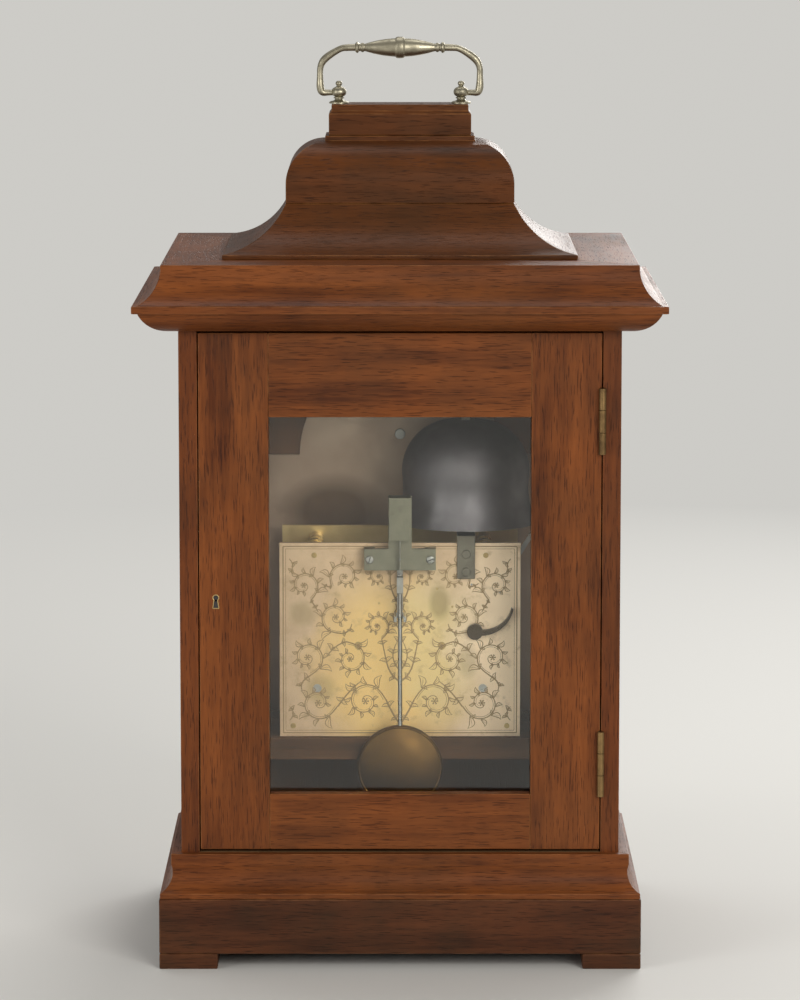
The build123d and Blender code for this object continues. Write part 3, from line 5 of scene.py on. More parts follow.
import bpy
from mathutils import Matrix, Vector

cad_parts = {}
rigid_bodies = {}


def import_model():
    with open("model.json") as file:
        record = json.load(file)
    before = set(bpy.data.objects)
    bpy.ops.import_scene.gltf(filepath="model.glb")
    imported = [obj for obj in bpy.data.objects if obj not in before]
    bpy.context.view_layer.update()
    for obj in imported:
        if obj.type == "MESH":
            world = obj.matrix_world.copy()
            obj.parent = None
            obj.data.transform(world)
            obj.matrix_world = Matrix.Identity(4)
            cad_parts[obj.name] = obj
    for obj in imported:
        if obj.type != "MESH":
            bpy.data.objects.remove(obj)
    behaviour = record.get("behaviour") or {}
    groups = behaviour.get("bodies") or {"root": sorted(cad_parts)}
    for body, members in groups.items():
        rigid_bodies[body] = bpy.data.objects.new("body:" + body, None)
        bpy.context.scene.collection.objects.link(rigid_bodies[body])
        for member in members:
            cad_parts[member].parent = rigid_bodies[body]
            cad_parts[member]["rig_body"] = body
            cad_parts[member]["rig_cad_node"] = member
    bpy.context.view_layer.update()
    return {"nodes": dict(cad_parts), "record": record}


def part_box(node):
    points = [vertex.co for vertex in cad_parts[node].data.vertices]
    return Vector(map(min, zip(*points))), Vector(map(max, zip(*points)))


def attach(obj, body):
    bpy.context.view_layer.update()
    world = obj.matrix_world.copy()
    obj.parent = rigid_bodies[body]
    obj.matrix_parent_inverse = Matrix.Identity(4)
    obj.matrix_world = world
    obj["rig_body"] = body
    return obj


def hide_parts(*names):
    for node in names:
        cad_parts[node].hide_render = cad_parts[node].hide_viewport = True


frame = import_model()
bpy.ops.object.select_all(action="DESELECT")
MM = 0.001
NODES = frame["nodes"]
BODY_OF = {node: body for body, nodes in frame["record"]["behaviour"]["bodies"].items() for node in nodes}
SLOT_OF = {part["node"]: part["material_slot"] for part in frame["record"]["subparts"]}


def mm(value):
    """Millimetres turned into metres, for a number or for all the numbers of nested lists."""
    return [mm(item) for item in value] if isinstance(value, (list, tuple)) else value * MM


# Shader nodes, each made in the tree that the sockets given to it belong to
def feed(socket, value):
    """Links another socket into this one, or sets its value; a colour is given as (red, green, blue)."""
    if isinstance(value, bpy.types.NodeSocket):
        socket.id_data.links.new(value, socket)
    elif value is not None:
        socket.default_value = (*value, 1) if socket.type == "RGBA" else value


def add(kind, *given, tree=None, settings=None, **named):
    """A shader node with its settings, and values or links for its first sockets and for named ones."""
    sockets = [value for value in (*given, *named.values()) if isinstance(value, bpy.types.NodeSocket)]
    made = (tree or sockets[0].id_data).nodes.new("ShaderNode" + kind)
    for name, value in (settings or {}).items():
        setattr(made, name, value)
    for socket, value in zip(made.inputs, given):
        feed(socket, value)
    for name, value in named.items():
        feed(made.inputs[name.replace("_", " ")], value)
    return made


def maths(operation, first, second=0.0, clamp=False):
    return add("Math", first, second, settings={"operation": operation, "use_clamp": clamp}).outputs[0]


def plus(first, second, clamp=False):
    return maths("ADD", first, second, clamp)


def times(first, second, clamp=False):
    return maths("MULTIPLY", first, second, clamp)


def vectors(operation, *given):
    made = add("VectorMath", *given, settings={"operation": operation})
    return made.outputs["Value" if operation in ("LENGTH", "DISTANCE") else "Vector"]


def span(value, low, high, to_low=0.0, to_high=1.0):
    """The value, its range from low to high mapped onto another range and held inside it."""
    return add("MapRange", value, low, high, to_low, to_high).outputs[0]


def mixed(factor, first, second, blend="MIX"):
    """Two colours mixed by a factor, past the node's sockets for numbers and vectors."""
    settings = {"data_type": "RGBA", "blend_type": blend}
    return add("Mix", factor, *[None] * 5, first, second, settings=settings).outputs[2]


def noise(vector, scales=(1, 1, 1), scale=1.0, detail=2.0, roughness=0.5, distortion=0.0):
    """Soft noise, its pattern drawn out along an axis whose scale is small."""
    if scales != (1, 1, 1):
        vector = vectors("MULTIPLY", vector, scales)
    return add("TexNoise", Vector=vector, Scale=scale, Detail=detail, Roughness=roughness,
               Distortion=distortion).outputs[0]


def coordinate(place, axis):
    return add("SeparateXYZ", place).outputs[axis]


def soft_spot(place, middle, reach):
    """A mask that is 1 round a place and fades to 0 at a distance given along each axis."""
    moved = vectors("SUBTRACT", place, middle)
    length = vectors("LENGTH", vectors("MULTIPLY", moved, tuple(1 / value for value in reach)))
    return span(length, 0.5, 1.0, 1.0, 0.0)


def effect(name, inputs, outputs):
    """An empty shader group with named sockets: its tree, its input sockets and its output sockets."""
    tree = bpy.data.node_groups.new(name, "ShaderNodeTree")
    for in_out, sockets in (("INPUT", inputs), ("OUTPUT", outputs)):
        for label, kind in sockets.items():
            tree.interface.new_socket(label, in_out=in_out, socket_type="NodeSocket" + kind)
    return tree, tree.nodes.new("NodeGroupInput").outputs, tree.nodes.new("NodeGroupOutput").inputs


def place_effect(group, *given):
    """A shader group in a material, its inputs filled in their order: its outputs."""
    return add("Group", *given, settings={"node_tree": group}).outputs


# Effects that several materials share
SKIN = {"Color": "Color", "Roughness": "Float", "Height": "Float"}


def make_grain():
    """Mahogany grain along X: broad streaks, a soft flame across them, and fine dark pores."""
    tree, given, out = effect("wood grain", {"Vector": "Vector", "Light": "Color", "Dark": "Color",
                                             "Figure": "Float", "Polish": "Float"}, SKIN)
    vector, light, dark = given["Vector"], given["Light"], given["Dark"]
    broad = noise(vector, (7, 70, 70), detail=3.0, distortion=0.4)
    fine = noise(vector, (30, 420, 420), detail=3.0, roughness=0.6)
    pores = span(noise(vector, (110, 2100, 2100), detail=1.0), 0.6, 0.68)
    flame = span(noise(vector, (22, 9, 9), distortion=1.4), 0.3, 0.72)
    streak = plus(times(broad, 0.62), times(fine, 0.38))
    colour = mixed(span(streak, 0.36, 0.64), dark, light)
    shaded = mixed(times(flame, given["Figure"]), colour, light)
    feed(out["Color"], mixed(times(pores, 0.55), shaded, dark, "MULTIPLY"))
    rough = plus(given["Polish"], times(fine, 0.12))
    feed(out["Roughness"], plus(rough, times(pores, 0.15), clamp=True))
    feed(out["Height"], maths("SUBTRACT", times(fine, 0.35), pores))
    return tree


def make_edge_wear():
    """Worn arrises: the rounded edges of a piece carry the attribute wear, broken up by a noise."""
    tree, given, out = effect("edge wear", {"Vector": "Vector", "Color": "Color", "Worn": "Color", "Amount": "Float"},
                              {"Color": "Color"})
    edge = add("Attribute", tree=tree, settings={"attribute_name": "wear"}).outputs["Fac"]
    patch = span(noise(given["Vector"], scale=90.0, detail=3.0), 0.36, 0.62)
    mask = times(times(edge, patch), given["Amount"], clamp=True)
    feed(out["Color"], mixed(mask, given["Color"], given["Worn"]))
    return tree


def make_grime():
    """Old polish and dirt, a dull darker film in soft patches, and a darkening towards the bottom."""
    tree, given, out = effect("grime", {"Vector": "Vector", "Color": "Color", "Dirt": "Color", "Amount": "Float"},
                              {"Color": "Color", "Mask": "Float"})
    soft = noise(given["Vector"], scale=14.0, detail=4.0, roughness=0.62)
    # Darker towards the bottom: from the table up to 5 cm, by height alone
    low = span(coordinate(given["Vector"], "Z"), 0.0, 0.05, 0.25, 0.0)
    mask = times(plus(span(soft, 0.42, 0.75), low), given["Amount"], clamp=True)
    feed(out["Mask"], mask)
    feed(out["Color"], mixed(mask, given["Color"], given["Dirt"]))
    return tree


def make_metal_skin():
    """Metal that has been handled: tarnish in patches, fine scratches and small pits."""
    tree, given, out = effect("metal skin", {"Vector": "Vector", "Bright": "Color", "Tarnish": "Color",
                                             "Amount": "Float", "Polish": "Float", "Patch Scale": "Float"}, SKIN)
    vector = given["Vector"]
    patch = noise(vector, scale=given["Patch Scale"], detail=5.0, roughness=0.65)
    mask = times(span(patch, 0.38, 0.68), given["Amount"], clamp=True)
    scratch = plus(span(noise(vector, (2600, 2600, 90)), 0.58, 0.8),
                   span(noise(vector, (120, 120, 3000)), 0.62, 0.85))
    pits = span(noise(vector, scale=1500.0, detail=1.0), 0.66, 0.74)
    feed(out["Color"], mixed(mask, given["Bright"], given["Tarnish"]))
    rough = plus(given["Polish"], times(mask, 0.3))
    feed(out["Roughness"], plus(rough, times(scratch, 0.12), clamp=True))
    height = maths("SUBTRACT", times(patch, 0.2), times(scratch, 0.3))
    feed(out["Height"], maths("SUBTRACT", height, times(pits, 0.6)))
    return tree


GRAIN, EDGE_WEAR, GRIME, METAL_SKIN = make_grain(), make_edge_wear(), make_grime(), make_metal_skin()


# Materials
def new_material(name, **constants):
    """A material with its Principled shader, whose constant sockets are set here."""
    material = bpy.data.materials.new(name)
    material.use_nodes = True
    shader = material.node_tree.nodes["Principled BSDF"]
    for label, value in constants.items():
        feed(shader.inputs[label.replace("_", " ")], value)
    return material, shader, add("TexCoord", tree=material.node_tree).outputs["Object"]


def skinned(shader, colour, rough, height, depth):
    """Feeds a shader its colour, its roughness, and a bump as deep as given."""
    feed(shader.inputs["Base Color"], colour)
    feed(shader.inputs["Roughness"], rough)
    feed(shader.inputs["Normal"], add("Bump", Height=height, Strength=1.0, Distance=depth).outputs[0])


def shaded(material, share, first, second):
    """Ends a material in two shaders, mixed by the share of the second."""
    blend = add("MixShader", share, first.outputs[0], second.outputs[0])
    feed(material.node_tree.nodes["Material Output"].inputs["Surface"], blend.outputs[0])


GRAIN_TURN = {"x": (0, 0, 0), "y": (0, 0, pi / 2), "z": (0, pi / 2, 0)}
RAW_HALF_WIDTH, RAW_FRONT, RAW_BACK, RAW_TOP = mm([110.2, -68.8, 81.2, 352])
SAWN_WOOD = (0.28, 0.16, 0.085)
DIRT = (0.03, 0.02, 0.01)


def inside_case(place):
    """A mask that is 1 within the case's inner faces, where the wood never had any polish."""
    across = maths("DIVIDE", maths("ABSOLUTE", coordinate(place, "X")), RAW_HALF_WIDTH)
    deep = maths("SUBTRACT", coordinate(place, "Y"), (RAW_FRONT + RAW_BACK) / 2)
    deep = maths("DIVIDE", maths("ABSOLUTE", deep), (RAW_BACK - RAW_FRONT) / 2)
    high = maths("DIVIDE", coordinate(place, "Z"), RAW_TOP)
    return maths("LESS_THAN", maths("MAXIMUM", maths("MAXIMUM", across, deep), high), 1.0)


def wood(name, along, light, dark, worn, figure=0.4, polish=0.34, gloss=0.08, wear=0.8, dirt=0.4, sawn_share=0.5,
         depth=0.00006):
    """Wood whose grain runs along one axis of the clock, polished outside the case and raw inside it."""
    material, shader, place = new_material(name, Coat_Weight=gloss, Coat_Roughness=0.18, IOR=1.45,
                                           Specular_IOR_Level=0.15)
    turned_place = add("Mapping", Vector=place, Rotation=GRAIN_TURN[along]).outputs[0]
    grain = place_effect(GRAIN, turned_place, light, dark, figure, polish)
    dirty = place_effect(GRIME, place, grain["Color"], DIRT, dirt)
    edged = place_effect(EDGE_WEAR, place, dirty["Color"], worn, wear)
    raw = inside_case(place)
    sawn = mixed(sawn_share, grain["Color"], SAWN_WOOD)
    rough = plus(grain["Roughness"], times(dirty["Mask"], 0.25), clamp=True)
    rough = plus(rough, times(raw, 0.35), clamp=True)
    skinned(shader, mixed(raw, edged["Color"], sawn), rough, grain["Height"], depth)
    return material


def woods(name, *colours, **settings):
    """One wood with its grain along each axis."""
    return {along: wood(name + "_" + along, along, *colours, **settings) for along in "xyz"}


def metal(name, bright, tarnish, amount=0.5, polish=0.25, patch_scale=60.0, wear=0.6, depth=0.00003, metallic=1.0):
    """A metal with tarnish, scratches and bright worn edges."""
    material, shader, place = new_material(name, Metallic=metallic)
    skin = place_effect(METAL_SKIN, place, bright, tarnish, amount, polish, patch_scale)
    edged = place_effect(EDGE_WEAR, place, skin["Color"], bright, wear)
    skinned(shader, edged["Color"], skin["Roughness"], skin["Height"], depth)
    return material


def old_glass(name):
    """Clear old glass, a little wavy and dusty, that lets the lamps through."""
    material, shader, place = new_material(name, Transmission_Weight=1.0, IOR=1.46)
    dust = span(noise(place, scale=60.0, detail=5.0, roughness=0.7), 0.5, 0.85, 0.015, 0.09)
    skinned(shader, (0.93, 0.96, 0.93), dust, noise(place, scale=22.0, detail=1.0), 0.0006)
    tree = material.node_tree
    shaded(material, add("LightPath", tree=tree).outputs["Is Shadow Ray"], shader, add("BsdfTransparent", tree=tree))
    return material


# Old oil that has crept over the back plate: across, up, half width, half height in mm, and strength
OIL_STAINS = ((-22, 21, 7, 12, 0.6), (45, -28, 11, 10, 0.4), (-38, -12, 7, 12, 0.35), (55, 15, 9, 9, 0.4))
OIL = (0.27, 0.2, 0.075)


def back_plate_brass(name, middle):
    """The engraved back plate: old lacquer, golden in the middle and paler and pinker to the sides, with a pale patch
    of painted light on its -X side.
    """
    material, shader, place = new_material(name, Metallic=0.72, Coat_Weight=0.2, Coat_Roughness=0.3)
    broken = add("TexNoise", Vector=place, Scale=45.0, Detail=3.0).outputs["Color"]
    broken = vectors("MULTIPLY_ADD", broken, (0.03, 0.0, 0.03), place)

    def spot(where, across, up, wide, high):
        return soft_spot(where, middle + Vector((across, 0, up)) * MM, (wide * MM, 1.0, high * MM))

    skin = place_effect(METAL_SKIN, place, (0.68, 0.48, 0.31), (0.46, 0.31, 0.19), 0.6, 0.38, 55.0)
    tinted_and_lit = mixed(spot(broken, 22, -2, 52, 62), skin["Color"], (0.79, 0.53, 0.215))
    tinted_and_lit = mixed(times(spot(broken, -6, 12, 30, 50), 0.45), tinted_and_lit, (0.68, 0.57, 0.3))
    # Painted light: a pale patch that brightens the plate's -X side
    tinted_and_lit = mixed(times(spot(broken, -55, 10, 45, 100), 0.95), tinted_and_lit, (0.98, 0.76, 0.54))
    for *stain, strength in OIL_STAINS:
        tinted_and_lit = mixed(times(spot(place, *stain), strength), tinted_and_lit, OIL)
    specks = span(noise(place, scale=150.0, detail=5.0, roughness=0.7), 0.56, 0.72, 0.0, 0.55)
    skinned(shader, mixed(specks, tinted_and_lit, (0.42, 0.28, 0.14)), skin["Roughness"], skin["Height"], 0.00003)
    return material


def dial_brass(name, face, middle, matted_radius):
    """The dial plate: gilt and matted inside the chapter ring in front; dull behind, with a dark patch of painted
    shadow above the movement.
    """
    material, shader, place = new_material(name, Metallic=0.9)
    skin = place_effect(METAL_SKIN, place, (0.88, 0.62, 0.24), (0.55, 0.36, 0.13), 0.5, 0.3, 50.0)
    behind = span(coordinate(place, "Y"), face + 0.0001, face + 0.0004)
    # Painted shadow: a dark brown patch on the back, above the movement's +X half
    stain = soft_spot(place, (0.038, 0.0, middle.z + 0.051), (0.034, 1.0, 0.024))
    dull = mixed(noise(place, scale=40.0, detail=4.0), (0.36, 0.25, 0.18), (0.5, 0.37, 0.28))
    back_with_painted_shadow = mixed(times(stain, 0.8), dull, (0.09, 0.05, 0.025))
    from_centre = vectors("DISTANCE", vectors("MULTIPLY", place, (1.0, 0.0, 1.0)), (middle.x, 0.0, middle.z))
    matted = span(from_centre, matted_radius - 0.0004, matted_radius, 1.0, 0.0)
    pits = times(add("TexVoronoi", Vector=place, Scale=1500.0).outputs["Distance"], matted)
    skinned(shader, mixed(behind, skin["Color"], back_with_painted_shadow), plus(skin["Roughness"], times(matted, 0.14)),
            plus(skin["Height"], times(pits, 2.5)), 0.00004)
    return material


def dull_filling(name, scale, dark, light, rough, metallic=0.0):
    """What fills an engraved line, black wax or old dirt and shadow; the black wax also stands for painted shade in
    screw slots and keyholes.
    """
    material, shader, place = new_material(name, Metallic=metallic)
    grain = noise(place, scale=scale, detail=3.0)
    skinned(shader, mixed(grain, dark, light), span(grain, 0.3, 0.7, *rough), grain, 0.00002)
    return material


MAHOGANY = woods("mahogany", (0.228, 0.066, 0.015), (0.072, 0.018, 0.005), (0.3, 0.12, 0.04), sawn_share=0.3)
# Painted shade: the sides take a darker copy of the case mahogany
SHADED_SIDE_MAHOGANY = woods("shaded_side_mahogany", (0.18, 0.05, 0.012), (0.06, 0.015, 0.005), (0.28, 0.11, 0.04))
DARK_MAHOGANY = woods("dark_mahogany", (0.115, 0.036, 0.013), (0.04, 0.013, 0.006), (0.2, 0.085, 0.035),
                      gloss=0.05, dirt=0.55)
CROWN_MAHOGANY = woods("crown_mahogany", (0.125, 0.038, 0.009), (0.05, 0.016, 0.004), (0.24, 0.1, 0.03),
                       gloss=0.04, dirt=0.45)
CARCASE = woods("carcase_wood", (0.24, 0.125, 0.055), (0.09, 0.045, 0.02), (0.3, 0.18, 0.09),
                figure=0.2, polish=0.62, gloss=0.0, wear=0.4)
# Painted shade: the seatboard takes a darker copy of the carcase wood
SHADED_SEATBOARD_WOOD = woods("shaded_seatboard_wood", (0.115, 0.055, 0.024), (0.046, 0.022, 0.01), (0.16, 0.09, 0.05),
                       figure=0.2, polish=0.6, gloss=0.0, wear=0.4, dirt=0.6, sawn_share=0.0, depth=0.00002)
# Metals: bright and tarnished colour, amount of tarnish, roughness, scale of its patches, and anything else
METALS = {name: metal(name, *looks, **others) for name, *looks, others in (
    ("polished_brass", (0.66, 0.47, 0.2), (0.16, 0.1, 0.045), 0.55, 0.25, 60.0, {}),
    ("handle_brass", (0.46, 0.42, 0.31), (0.16, 0.145, 0.105), 0.7, 0.34, 130.0, {}),
    ("engraved_brass", (0.78, 0.6, 0.3), (0.42, 0.3, 0.14), 0.45, 0.3, 35.0, {}),
    ("silvered_brass", (0.78, 0.76, 0.7), (0.5, 0.46, 0.38), 0.45, 0.38, 45.0, {}),
    ("gilt_brass", (0.83, 0.57, 0.2), (0.36, 0.22, 0.07), 0.5, 0.3, 160.0, {}),
    ("blued_steel", (0.022, 0.034, 0.085), (0.03, 0.025, 0.035), 0.7, 0.22, 60.0, {}),
    ("steel", (0.5, 0.49, 0.47), (0.2, 0.17, 0.14), 0.5, 0.24, 60.0, {}),
    ("bell_metal", (0.185, 0.17, 0.18), (0.095, 0.085, 0.085), 0.6, 0.5, 25.0, {"depth": 0.000003}),
    ("gut", (0.5, 0.34, 0.16), (0.3, 0.18, 0.08), 0.5, 0.5, 60.0, {"metallic": 0.0}),
    ("hinge_brass", (0.3, 0.19, 0.08), (0.1, 0.06, 0.03), 0.8, 0.4, 60.0, {}),
    # Painted shade: the bob's brass is made dark, as the bob hangs in shadow
    ("bob_brass", (0.13, 0.068, 0.02), (0.055, 0.032, 0.011), 0.7, 0.36, 60.0, {}),
    ("cock_brass", (0.23, 0.215, 0.16), (0.1, 0.095, 0.065), 0.6, 0.38, 60.0, {}),
    ("stand_steel", (0.2, 0.18, 0.14), (0.09, 0.075, 0.055), 0.6, 0.36, 60.0, {}),
    ("spring_steel", (0.1, 0.075, 0.05), (0.05, 0.035, 0.025), 0.6, 0.35, 60.0, {}))}
GLASS = old_glass("old_glass")
BLACK_WAX_AND_SHADE = dull_filling("black_wax_and_shade", 900.0, (0.012, 0.011, 0.012), (0.035, 0.03, 0.028), (0.4, 0.6))
ENGRAVED_LINE = dull_filling("engraved_line", 400.0, (0.2, 0.12, 0.05), (0.4, 0.27, 0.13), (0.45, 0.7), 0.4)

RING_LOW, RING_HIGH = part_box("chapter_ring")
DIAL_CENTRE = (RING_LOW + RING_HIGH) / 2
RING_FACE, DIAL_FACE = RING_LOW.y, RING_HIGH.y
RING_RADIUS = (RING_HIGH.x - RING_LOW.x) / 2
PLATE_LOW, PLATE_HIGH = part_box("back_plate")
PLATE_MIDDLE = (PLATE_LOW + PLATE_HIGH) / 2
# Nodes whose look isn't that of their slot
SPECIAL = {
    "back_plate": back_plate_brass("back_plate_brass", PLATE_MIDDLE),
    "dial_plate": dial_brass("dial_brass", DIAL_FACE, DIAL_CENTRE, RING_RADIUS * 0.7),
    "pendulum_bob": METALS["bob_brass"], "back_cock": METALS["cock_brass"], "bell_stand": METALS["stand_steel"],
    "hammer_spring": METALS["spring_steel"], "case_hinge_leaves": METALS["hinge_brass"],
    "back_door_hinge_leaves": METALS["hinge_brass"], "front_door_hinge_leaves": METALS["hinge_brass"],
}


# Modelling
def only(piece):
    """Makes one object the selected and active one."""
    bpy.ops.object.select_all(action="DESELECT")
    piece.select_set(True)
    bpy.context.view_layer.objects.active = piece
    return piece


def copy_of(piece):
    only(piece)
    bpy.ops.object.duplicate()
    return bpy.context.object


def remove(piece):
    only(piece)
    bpy.ops.object.delete()


def settled():
    """The active object, its place, turn and size put into its mesh."""
    bpy.ops.object.transform_apply(location=True, rotation=True, scale=True)
    return bpy.context.object


def joined(parts):
    """Several objects as one."""
    only(parts[0])
    for part in parts:
        part.select_set(True)
    if len(parts) > 1:
        bpy.ops.object.join()
    return bpy.context.object


def merge():
    bpy.ops.mesh.remove_doubles(threshold=1e-6)


def face_outwards():
    bpy.ops.mesh.normals_make_consistent(inside=False)


def join_triangles():
    bpy.ops.mesh.dissolve_limited(angle_limit=radians(0.4))


def worked(piece, *steps, mode=None):
    """Takes each step in edit mode with the whole piece selected."""
    only(piece)
    bpy.ops.object.mode_set(mode="EDIT")
    if mode:
        bpy.ops.mesh.select_mode(type=mode)
    for step in steps:
        bpy.ops.mesh.select_all(action="SELECT")
        step()
    bpy.ops.object.mode_set(mode="OBJECT")
    return piece


def closed(piece):
    """Joins the seams and end caps of a piece, and faces it outwards."""
    return worked(piece, merge, face_outwards, mode="VERT")


def painted(piece, name, body, slot, material=None, smooth=35.0):
    """Names and shades a piece, paints it, with its slot's metal if nothing else, and gives it its body."""
    only(piece)
    piece.name = piece.data.name = name
    settled()
    bpy.ops.object.shade_smooth_by_angle(angle=radians(smooth))
    if "wear" in piece.data.attributes:
        flat_faces = piece.modifiers.new("flat faces stay flat", "WEIGHTED_NORMAL")
        flat_faces.keep_sharp = True
        bpy.ops.object.modifier_apply(modifier=flat_faces.name)
    piece.data.materials.clear()
    piece.data.materials.append(material or METALS[slot])
    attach(piece, body)
    return piece


def metal_of(node):
    return SPECIAL.get(node) or METALS[SLOT_OF[node]]


def made_for(piece, node, name=None, smooth=35.0):
    """A piece that stands for a CAD node and is painted like it."""
    painted(piece, name or node + "_finished", BODY_OF[node], SLOT_OF[node], metal_of(node), smooth)
    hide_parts(node)
    return piece


def solid_starts(mesh):
    """Where each solid begins in a mesh that holds its solids one after another: each ends where it closes."""
    corners = [tuple(round(value, 6) for value in vertex.co) for vertex in mesh.vertices]
    starts, open_edges = [], set()
    for face in mesh.polygons:
        if not open_edges:
            starts.append(face.index)
        loop = [corners[index] for index in face.vertices]
        for start, end in zip(loop, loop[1:] + loop[:1]):
            if (end, start) in open_edges:
                open_edges.remove((end, start))
            else:
                open_edges.add((start, end))
    return starts


def solids_of(node):
    """Each solid of a CAD node as its own free object, its triangles joined into whole faces."""
    piece = copy_of(NODES[node])
    piece.parent = None
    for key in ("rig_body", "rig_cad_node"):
        del piece[key]
    solids = []
    for start in reversed(solid_starts(piece.data)[1:]):
        only(piece)
        bpy.ops.object.mode_set(mode="EDIT")
        bpy.ops.mesh.select_mode(type="FACE")
        bpy.ops.mesh.select_all(action="DESELECT")
        bpy.ops.object.mode_set(mode="OBJECT")
        piece.data.polygons.foreach_set("select", [face.index >= start for face in piece.data.polygons])
        bpy.ops.object.mode_set(mode="EDIT")
        bpy.ops.mesh.separate(type="SELECTED")
        bpy.ops.object.mode_set(mode="OBJECT")
        solids += [part for part in bpy.context.selected_objects if part != piece]
    return [worked(solid, merge, join_triangles) for solid in [piece] + solids[::-1]]


def corners_of(piece):
    places = [vertex.co for vertex in piece.data.vertices]
    return [Vector(pick(place[axis] for place in places) for axis in range(3)) for pick in (min, max)]


def longest_axis(piece):
    low, high = corners_of(piece)
    return "xyz"[max(range(3), key=lambda axis: (high - low)[axis])]


SHARP = radians(28)


def ease_edges(piece, width, mitred=False):
    """Rounds the arrises, but not those of a mitre joint, and marks them with the attribute wear."""
    only(piece)
    mesh = piece.data
    mesh.materials.clear()
    for _ in ("flat", "eased"):
        mesh.materials.append(None)
    joints = set()
    for face in mesh.polygons:
        if mitred and abs(abs(face.normal.x) - abs(face.normal.y)) < 0.01 and abs(face.normal.z) < 0.01:
            joints.update(face.edge_keys)
    bpy.ops.object.mode_set(mode="EDIT")
    bpy.ops.mesh.select_mode(type="EDGE")
    bpy.ops.mesh.select_all(action="DESELECT")
    bpy.ops.mesh.edges_select_sharp(sharpness=SHARP)
    bpy.ops.object.mode_set(mode="OBJECT")
    for edge in mesh.edges:
        if edge.key in joints:
            edge.select = False
    bpy.ops.object.mode_set(mode="EDIT")
    bpy.ops.mesh.bevel(offset=width, segments=2, affect="EDGES", material=1, clamp_overlap=True)
    bpy.ops.object.mode_set(mode="OBJECT")
    flat = {index for face in mesh.polygons if face.material_index == 0 for index in face.vertices}
    wear = mesh.attributes.new("wear", "FLOAT", "POINT")
    wear.data.foreach_set("value", [0.0 if index in flat else 1.0 for index in range(len(mesh.vertices))])
    mesh.polygons.foreach_set("material_index", [0] * len(mesh.polygons))


def joinery(node, boards, edge, along=None, opened=False):
    """Each board or moulding of a CAD node as its own piece, its arrises eased and its grain along its length."""
    for number, board in enumerate(solids_of(node), 1):
        if opened:
            worked(board, bpy.ops.mesh.vert_connect_concave)
        ease_edges(board, edge * MM, mitred=True)
        grain = along or longest_axis(board)
        painted(board, f"{node}_{number}", BODY_OF[node], SLOT_OF[node], boards[grain])
        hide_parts(node)


def fitting(node, edge):
    """A CAD node's metalwork as one piece with eased edges."""
    parts = solids_of(node)
    for part in parts:
        ease_edges(part, edge * MM)
    made_for(joined(parts), node)


def mirrored_copy(piece, x_sign, z_sign, centre_z=0.0):
    """A copy of a piece turned over across the middle of the clock, or across a height."""
    copy = copy_of(piece)
    copy.matrix_world = Matrix.Translation((0, 0, centre_z * (1 - z_sign))) @ Matrix.Diagonal((x_sign, 1, z_sign, 1))
    return worked(settled(), face_outwards)


def swept(lines, sides, steps):
    """Round bars, each through places (x, y, z) and with a radius at each, as one object."""
    bpy.ops.curve.primitive_nurbs_path_add(location=(0, 0, 0))
    drawn = bpy.context.object.data
    drawn.splines.clear()
    for places, radii in lines:
        spline = drawn.splines.new("NURBS")
        spline.points.add(len(places) - 1)
        for point, place, radius in zip(spline.points, places, radii):
            point.co = (*place, 1)
            point.radius = radius
        spline.order_u = 3
        spline.use_endpoint_u = True
        spline.resolution_u = steps
    drawn.bevel_depth = 1.0
    drawn.bevel_resolution = sides
    drawn.use_fill_caps = True
    bpy.ops.object.convert(target="MESH")
    return bpy.context.object


def round_bar(places, radii, steps=6):
    return closed(swept([(places, radii)], 4, steps))


def ribbons(lines, middle_y, flatness, sides=2, steps=5):
    """Round-backed bars, each through places (x, z) in a plane parallel to the dial, as wide as given at each."""
    bars = swept([([(x, 0, z) for x, z in places], [width / 2 for width in widths]) for places, widths in lines],
                 sides, steps)
    bars.scale.y, bars.location.y = flatness, middle_y
    return closed(settled())


def ribbon(places, widths, middle_y, depth, sides=2, steps=5):
    """One such bar, its thickest part as deep as given."""
    return ribbons([(places, widths)], middle_y, depth / max(widths), sides, steps)


def polar(radius, turn, middle=(0, 0)):
    """The place at a distance and an angle, in degrees, from a middle."""
    return middle[0] + radius * cos(radians(turn)), middle[1] + radius * sin(radians(turn))


def curl(middle, radius, start, sweep, shrink=0.25, count=8):
    """Points of a spiral that winds in round its middle."""
    shares = [step / (count - 1) for step in range(count)]
    return [polar(radius * (1 - (1 - shrink) * share), start + sweep * share, middle) for share in shares]


def tapering(first, last, count, swell=0.0):
    """Widths from first to last, swelling a little on the way."""
    shares = [step / (count - 1) for step in range(count)]
    return [first + (last - first) * share + swell * sin(pi * share) for share in shares]


def arc_through(start, middle, end, count=9):
    """Points along the round stretch that passes through three places."""
    (ax, ay), (bx, by), (cx, cy) = start, middle, end
    twice_area = 2 * (ax * (by - cy) + bx * (cy - ay) + cx * (ay - by))
    a, b, c = (x * x + y * y for x, y in (start, middle, end))
    hub_x = (a * (by - cy) + b * (cy - ay) + c * (ay - by)) / twice_area
    hub_y = (a * (cx - bx) + b * (ax - cx) + c * (bx - ax)) / twice_area
    radius = hypot(ax - hub_x, ay - hub_y)
    first, via, last = (atan2(y - hub_y, x - hub_x) for x, y in (start, middle, end))
    sweep = (last - first) % (2 * pi)
    if (via - first) % (2 * pi) > sweep:
        sweep -= 2 * pi
    turns = [first + sweep * step / (count - 1) for step in range(count)]
    return [(hub_x + radius * cos(turn), hub_y + radius * sin(turn)) for turn in turns]


SPIN_AXIS_TURN = {"x": (0, 0, -pi / 2), "y": (0, 0, 0), "z": (pi / 2, 0, 0)}


